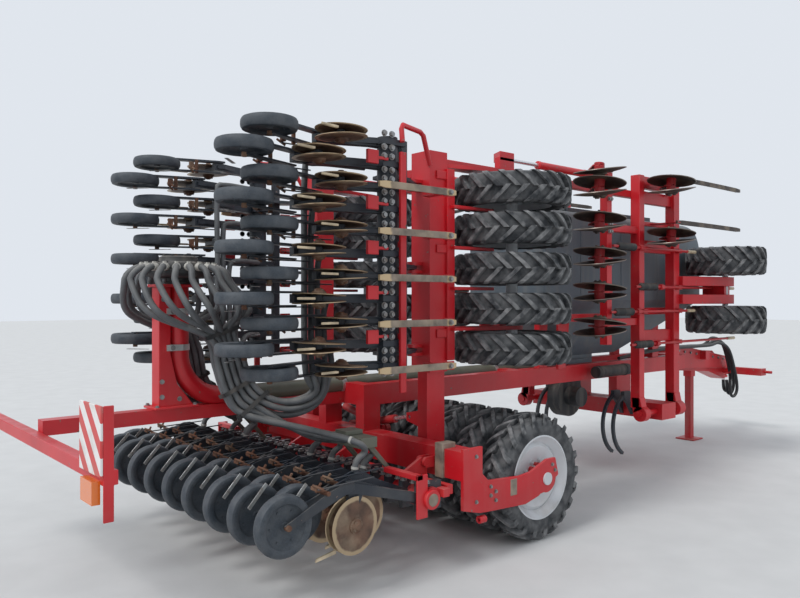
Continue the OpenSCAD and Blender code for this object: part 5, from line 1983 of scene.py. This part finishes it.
@dataclass
class Lines:
    """The guard tubes, the strips at the drill, the oil cylinders, the drawbar's cheeks and its hoses."""

    layout: Layout
    guard: Route = (
        (-1.05, 2.93, 0.40), (-1.05, 3.02, 0.41), (-1.03, 3.05, 0.42), (-0.80, 3.05, 0.50), (-0.76, 3.03, 0.51),
        (-0.66, 2.84, 0.55),
    )
    guard_r: float = 0.018
    wing_strip: Box = ((-0.505, 1.42, 0.525), (-0.43, 2.83, 0.60))
    drill_strip: Box = ((-1.075, 1.24, 0.385), (-1.025, 2.86, 0.41))
    strip_feet: tuple[float, ...] = (1.62, 2.24, 2.78)
    strip_arms: tuple[float, ...] = (1.65, 1.95, 2.25, 2.55)
    squares: tuple[float, ...] = (1.625, 1.914, 2.207, 2.50, 2.80)
    cylinder: Route = ((1.95, 0.42, 1.035), (2.51, 0.42, 1.035))
    cylinder_r: float = 0.058
    cheek: Spans = ((3.86, 0.93), (3.86, 1.19), (4.30, 1.17), (5.43, 0.99), (5.43, 0.86))
    cheek_y: Span = (-0.14, 0.122)
    cheek_t: float = 0.018
    cross_plates: tuple[float, ...] = (3.90, 4.24, 4.80, 5.30)
    cheek_bolts: int = 9
    holders: Boxes = (
        ((4.57, -0.214, 1.009), (4.67, -0.099, 1.119)), ((5.22, -0.214, 0.80), (5.29, -0.099, 0.86)),
    )
    supply: int = 3
    supply_r: float = 0.019
    supply_y: float = -0.165
    supply_gap: float = 0.045

    def build(self) -> None:
        """Builds the lines of both wings and of the drawbar."""
        lay = self.layout
        for side in lay.sides:
            self.strips(side)
        cylinder = Shape().rod(*self.cylinder, self.cylinder_r, 28)
        for x in (1.99, 2.43):
            _, y, z = self.cylinder[0]
            cylinder.rod((x, y, z), (x + 0.03, y, z), self.cylinder_r + 0.004, 28)
        fit("oil_cylinders", lay.both(cylinder), "frame", BLACK_PLASTIC, edge=SHARP)
        self.drawbar()
        fit("hose_holders", lay.place(Shape().blocks(self.holders)), "frame", RED)
        paths = [[lay.shift @ p for p in smooth(self.route(i), 10)] for i in range(self.supply)]
        settle(hoses("supply_hoses", paths, self.supply_r, OIL_HOSE, 12), "frame", OIL_HOSE)

    def strips(self, side: WingSide) -> None:
        """Builds a wing's guard tube and the strips before and behind its drill's bars."""
        guard = Shape().tube([side.at(*p) for p in self.guard], self.guard_r, 16)
        strip, low = Shape().block(*self.wing_strip), Shape().block(*self.drill_strip)
        for y in self.strip_feet:
            strip.block((-0.60, y - 0.03, 0.535), (-0.48, y + 0.03, 0.59))
            low.block((-1.06, y - 0.02, 0.40), (-1.04, y + 0.02, 0.44))
        for y in self.strip_arms:
            strip.block((-0.475, y - 0.012, 0.48), (-0.05, y + 0.012, 0.535))
        for y in self.squares:
            low.block((-1.355, y - 0.045, 0.385), (-1.265, y + 0.045, 0.41))
            low.block((-1.32, y - 0.01, 0.40), (-1.17, y + 0.01, 0.42))
        fit("drill_strips_" + side.name, side.fold(low), "drill_" + side.name, RED)
        fit("wing_strips_" + side.name, side.fold(strip), "wing_" + side.name, RED)
        fit("guard_tube_" + side.name, guard, "wing_" + side.name, RED, edge=SHARP)

    def drawbar(self) -> None:
        """Builds the drawbar's cheeks, the plates between them and their bolts."""
        lay = self.layout
        cheeks, bolts = Shape(), Bolts(0.022)
        for y in self.cheek_y:
            cheeks.plate(self.cheek, y, y + self.cheek_t)
        for x in self.cross_plates:
            cheeks.block((x, -0.13, 0.95), (x + 0.06, 0.13, 1.0))
        for i in range(self.cheek_bolts):
            for side in (-1, 1):
                bolts.add((4.05 + 0.14 * i, side * 0.14, 1.14 - 0.019 * i), (0, side, 0), lay.shift)
        fit("drawbar_cheeks", lay.place(cheeks), "frame", RED)
        bolts.build("drawbar_bolts", "frame", NUT)

    def route(self, i: int) -> list[Place]:
        """Returns what supply hose i passes: the rail, the holder, its loop and its hanging end."""
        y = self.supply_y - self.supply_gap * i
        return [
            (2.60, -0.26, 1.13), (3.4, y - 0.02, 1.19), (4.2, y, 1.19), (4.60, y, 1.19), (4.82, y, 1.27 - 0.03 * i),
            (5.04, y - 0.02, 1.20 - 0.04 * i), (5.19, y - 0.03, 0.93 - 0.05 * i), (5.27, y - 0.02, 0.70 - 0.045 * i),
            (5.24, y, 0.57 - 0.03 * i), (5.14, y, 0.60 - 0.03 * i), (5.12, y, 0.72),
        ]


@dataclass
class CoulterDetails:
    """What sits on the coulters: bars, levers, strips, tongues, sockets, nuts, and the packer's end arms."""

    layout: Layout
    seed_x: float = -1.70
    seed_z: float = 0.44
    bar_half: float = 0.029
    lever: Span = (-0.052, -0.041)
    strip: Span = (-0.078, -0.074)
    strip_w: float = 0.024
    nut_x: Span = (-1.20, -1.135)
    cap: Spans = ((0, 0), (0.046, 0), (0.040, 0.012), (0.016, 0.032), (0, 0.032))
    boxes: Boxes = (((-1.42, 0.66, 0.80), (-1.29, 1.00, 0.87)), ((-1.44, 0.74, 0.87), (-1.30, 0.86, 0.90)))
    box_arm: Spans = ((-1.36, 0.81), (-1.16, 0.60), (-1.12, 0.60), (-1.31, 0.81))
    box_arms: Span = (0.675, 0.975)

    def build(self) -> None:
        """Builds the details of the centre and of both wings."""
        lay = self.layout
        rows = [(lay.center_row(i), lay.stagger if i % 2 else 0.0) for i in range(lay.center_rows)]
        self.rows("center", "drill_center", rows, lay.shift)
        for side in lay.sides:
            rows = [(lay.wing_row(i), 0.0 if i % 2 else lay.stagger) for i in range(lay.wing_rows)]
            self.rows(side.name, "drill_" + side.name, rows, side.matrix)
        EndArms(lay).build()
        boxes = Shape().blocks(self.boxes)
        for y in self.box_arms:
            boxes.plate(self.box_arm, y - 0.008, y + 0.008)
        fit("manifolds", lay.both(boxes), "drill_center", PIPE)

    def bars(self, shape: Shape, x: float, y: float, press: Span) -> None:
        """Adds a coulter's bar, its lever to the press wheel, its stud and its pull rod.

        Args:
            shape: what they are added to.
            x: the seed discs' middle.
            y: the row's place outboard.
            press: X and Z of the press wheel's axle.
        """
        px, pz = press
        shape.plate([
            (-1.14, 0.47), (-1.14, 0.53), (x + 0.01, 0.685), (x - 0.06, 0.685), (x - 0.06, 0.63), (x, 0.625),
        ], y - self.bar_half, y + self.bar_half)
        shape.plate([
            (x - 0.02, 0.70), (x - 0.02, 0.66), (px + 0.01, pz - 0.02), (px - 0.02, pz + 0.012), (x - 0.19, 0.675),
            (x - 0.10, 0.70),
        ], y + self.lever[0], y + self.lever[1])
        shape.rod((x + 0.02, y, 0.53), (x + 0.05, y, 0.63), 0.027)
        shape.rod((x - 0.28, y - 0.055, 0.70), (x + 0.12, y - 0.055, 0.712), 0.005, 8)

    def brackets(self, shape: Shape, x: float, y: float, press: Span) -> None:
        """Adds a coulter's rusty bracket, pins and the discs' hub caps; it takes what bars takes."""
        px, pz = press
        shape.block((x - 0.285, y - 0.045, 0.69), (x - 0.25, y + 0.01, 0.712))
        for start, end, radius, sides in (
            ((x - 0.21, y - 0.065, 0.668), (x - 0.21, y + 0.04, 0.668), 0.014, 10),
            ((x - 0.27, y - 0.02, 0.68), (x - 0.255, y - 0.05, 0.735), 0.008, 8),
            ((x - 0.25, y - 0.07, 0.70), (x - 0.30, y - 0.03, 0.725), 0.008, 8),
            ((px, y - 0.066, pz), (px, y - 0.038, pz), 0.018, 8),
        ):
            shape.rod(start, end, radius, sides)
        cap = Shape().lathe(self.cap, 18)
        for way in (-1, 1):
            shape.join(cap, Matrix.Translation((x, y + way * 0.034, self.seed_z)) @ flip(way))

    def rows(self, name: str, body: str, rows: Sequence[Span], matrix: Matrix) -> None:
        """Builds the details of a set of coulters.

        Args:
            name: the set's name.
            body: the body that it rides on.
            rows: each row's place outboard and how far ahead it stands.
            matrix: turns the set into the machine's frame.
        """
        bars, strips, tongues, rust, nuts = Shape(), Shape(), Shape(), Shape(), Bolts(0.030)
        out, nut_z, up = (0.03, 0.60, 1) if name == "center" else (0.045, 0.412, -1)
        for number, (y, forward) in enumerate(rows):
            x, press = self.seed_x + forward, (self.layout.press_x + forward, self.layout.press_z)
            self.bars(bars, x, y, press)
            if number:
                ends = (Vector((press[0] + 0.03, 0.71)), Vector((press[0] - 0.085, 0.585)))
                strips.bar(*ends, self.strip_w, y + self.strip[0], y + self.strip[1])
            tongues.plate([
                (x - 0.26, 0.278), (x - 0.25, 0.298), (x - 0.12, 0.322), (x - 0.12, 0.298),
            ], y - 0.007, y + 0.007)
            self.brackets(rust, x, y, press)
            for way in (-1, 1):
                for nut_x in self.nut_x:
                    nuts.add((nut_x, y + way * out, nut_z), (0, 0, up), matrix)
        for key, shape, finish in (
            ("bars", bars, BLUE_BLACK), ("strips", strips, STRIP), ("tongues", tongues, TONGUE),
            ("brackets", rust, RUST),
        ):
            fit(f"coulter_{key}_{name}", Shape().join(shape, matrix), body, finish, edge=FINE_EDGE)
        nuts.build(f"coulter_nuts_{name}", body, NUT)


@dataclass
class EndArms:
    """The cheeks at the packer's ends with their worn patches, the seed bar's ends and the packer's hubs."""

    layout: Layout
    cheek: Spans = (
        (-0.765, 0.44), (-0.765, 0.745), (-0.68, 0.745), (-0.68, 0.60), (-0.62, 0.545), (-0.227, 0.52), (0.0, 0.60),
        (0.10, 0.60), (0.136, 0.47), (-0.095, 0.348), (-0.238, 0.315), (-0.66, 0.335), (-0.73, 0.37),
    )
    cheek_y: Span = (1.335, 1.3575)
    cheek_bolts: Spans = (
        (-0.74, 0.42), (-0.74, 0.72), (-0.60, 0.44), (-0.60, 0.50), (-0.55, 0.46), (-0.55, 0.40), (0.06, 0.555),
        (0.09, 0.51),
    )
    bolt_y: float = 1.358
    bar_end: Box = ((-1.24, 1.318, 0.39), (-1.15, 1.332, 0.665))
    bar_plates: Boxes = (
        ((-1.04, 1.22, 0.50), (-0.985, 1.36, 0.555)), ((-1.24, 1.00, 0.63), (-1.19, 1.332, 0.665)),
    )
    pivot: Span = (-1.125, 0.50)
    patches: Boxes = (
        ((-0.875, 1.10, 0.565), (-0.755, 1.18, 0.795)), ((-0.40, 1.34, 0.40), (-0.33, 1.3595, 0.515)),
    )
    hub: Spans = ((0, 0), (0.075, 0), (0.075, 0.03), (0.05, 0.05), (0, 0.05))
    hub_y: float = 1.24
    hub_bolts: int = 8
    hub_ring: float = 0.078

    def pin(self, start: float, end: float, radius: float, sides: int) -> Shape:
        """Returns a round pin on the seed bar's pivot, between two distances outboard."""
        x, z = self.pivot
        return Shape().rod((x, start, z), (x, end, z), radius, sides)

    def build(self) -> None:
        """Builds the ends of both sides."""
        lay = self.layout
        ends = Shape().block(*self.bar_end).join(self.pin(1.29, 1.355, 0.062, 28)).blocks(self.bar_plates)
        fit("seed_bar_ends", lay.both(ends), "drill_center", RED)
        fit("seed_bar_faces", lay.both(self.pin(1.35, 1.358, 0.040, 20)), "drill_center", BAR, edge=SHARP)
        cheek = Shape().plate(self.cheek, *self.cheek_y).eye((-0.70, -0.64), 1.34, 0.29, 0.012, 0.026)
        fit("end_arms", lay.both(cheek), "frame", RED)
        fit("worn_patches", lay.both(Shape().blocks(self.patches)), "frame", BAR)
        bolts, hubs = Bolts(0.019), Shape()
        hub = Shape().lathe(self.hub, 30)
        for x, z in circle(self.hub_bolts, self.hub_ring):
            hub.rod((x, 0, z), (x, 0.034, z), 0.024, 14)
        for way in (-1, 1):
            for x, z in self.cheek_bolts:
                bolts.add((x, self.bolt_y, z), (0, 1, 0), flip(way) @ lay.shift)
            hubs.join(hub, Matrix.Translation(lay.axle + Vector((0, way * self.hub_y, 0))) @ flip(way))
        bolts.build("end_arm_bolts", "frame", NUT)
        fit("packer_hubs", hubs, "packer_center", RED, edge=SHARP)


@dataclass
class Metalwork:
    """CAD pieces whose edges are rounded, with their finishes."""

    frame: dict
    bolt_room: float = 1.358

    def finish_of(self, node: str) -> Finish:
        """Returns the finish of a CAD node."""
        table: dict[str, Finish] = {
            "coulters": BLUE_BLACK, "fan": BLACK_PLASTIC, "track_tines": BLUE_BLACK, "warning_boards": BOARD,
            "lamps": LAMP, "hopper_lid": LID, "ram_barrel": DEEP_RED, "ram_rod": CHROME, "seed_bar_center": RED,
            "seed_bar": BLUE_BLACK, "jack_leg": DEEP_RED, "hitch_head": DEEP_RED,
        }
        found = [finish for key, finish in table.items() if node.startswith(key)]
        return found[0] if found else RED

    def build(self) -> None:
        """Dresses every CAD node that no other piece stands for."""
        for name, node in self.frame["nodes"].items():
            if node.hide_render:
                continue
            finish = self.finish_of(name)
            if name in ("lamps", "ram_rod_left", "ram_rod_right"):
                node.data.materials.clear()
                node.data.materials.append(material_of(finish))
                continue
            settle(self.rounded(name, node, finish), node["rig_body"], finish, name)

    def rounded(self, name: str, node: Thing, finish: Finish) -> Thing:
        """Returns a copy of a node with merged corners and rounded edges.

        Args:
            name: the node's name.
            node: the node's object.
            finish: the copy's finish.
        """
        work = bmesh.new()
        work.from_mesh(node.data)
        bmesh.ops.remove_doubles(work, verts=work.verts, dist=1e-5)
        bmesh.ops.dissolve_limit(work, angle_limit=math.radians(0.5), verts=work.verts, edges=work.edges)
        if name == "packer_frame":
            for corner in work.verts:
                corner.co.y = max(-self.bolt_room, min(self.bolt_room, corner.co.y))
        mesh = bpy.data.meshes.new(name + "_dressed")
        work.to_mesh(mesh)
        work.free()
        mesh.materials.clear()
        mesh.materials.append(material_of(finish))
        creased(mesh, 28)
        return eased(linked(name + "_dressed", mesh))


@dataclass
class Studio:
    """The pale floor, the soft light and the camera at the photograph's place."""

    layout: Layout
    focal_px: float = 744.1
    image_w: float = 800.0
    sensor: float = 36.0
    height: float = 1.762
    behind: float = -4.318
    beside: float = -4.767
    heading: float = 49.47
    sky: Color = (0.88, 0.93, 1.0)
    sky_strength: float = 0.85
    sun_energy: float = 1.5
    sun_spread: float = 18.0
    sun_turn: Place = (38.0, -14.0, -70.0)
    reach: float = 60.0

    def build(self) -> None:
        """Builds the stage, the lamps and the camera."""
        scene = bpy.context.scene
        scene.view_settings.view_transform = "Standard"
        world = bpy.data.worlds.new("sky")
        world.use_nodes = True
        sky = world.node_tree.nodes["Background"]
        sky.inputs["Color"].default_value = (*self.sky, 1.0)
        sky.inputs["Strength"].default_value = self.sky_strength
        scene.world = world
        sun = bpy.data.lights.new("sun", "SUN")
        sun.energy = self.sun_energy
        sun.angle = math.radians(self.sun_spread)
        linked("sun", sun).rotation_euler = [math.radians(angle) for angle in self.sun_turn]
        mesh = bpy.data.meshes.new("floor")
        r = self.reach
        mesh.from_pydata([(-r, -r, 0), (r, -r, 0), (r, r, 0), (-r, r, 0)], [], [(0, 1, 2, 3)])
        mesh.materials.append(material_of(FLOOR))
        floor = linked("floor", mesh)
        floor.location.z = -0.001
        data = bpy.data.cameras.new("camera")
        data.sensor_width = self.sensor
        data.lens = self.focal_px / self.image_w * self.sensor
        camera = linked("camera", data)
        camera.location = (self.layout.x(self.behind), self.beside, self.height)
        camera.rotation_euler = (math.radians(90), 0, math.radians(self.heading - 90))
        scene.camera = camera


def main() -> None:
    """Builds the drill's pieces in order."""
    logging.basicConfig(level=logging.INFO, format="%(message)s")
    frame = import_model()
    layout = Layout(frame)
    Studio(layout).build()
    Packer(layout).build()
    Discs(layout).build()
    PressWheels(layout).build()
    Hoses(layout).build()
    Distributor(layout).build()
    FrontFrame(layout).build()
    Hopper(layout).build()
    AirPipe(layout).build()
    Slides(layout).build()
    Lines(layout).build()
    CoulterDetails(layout).build()
    Metalwork(frame).build()


if __name__ == "__main__":
    main()
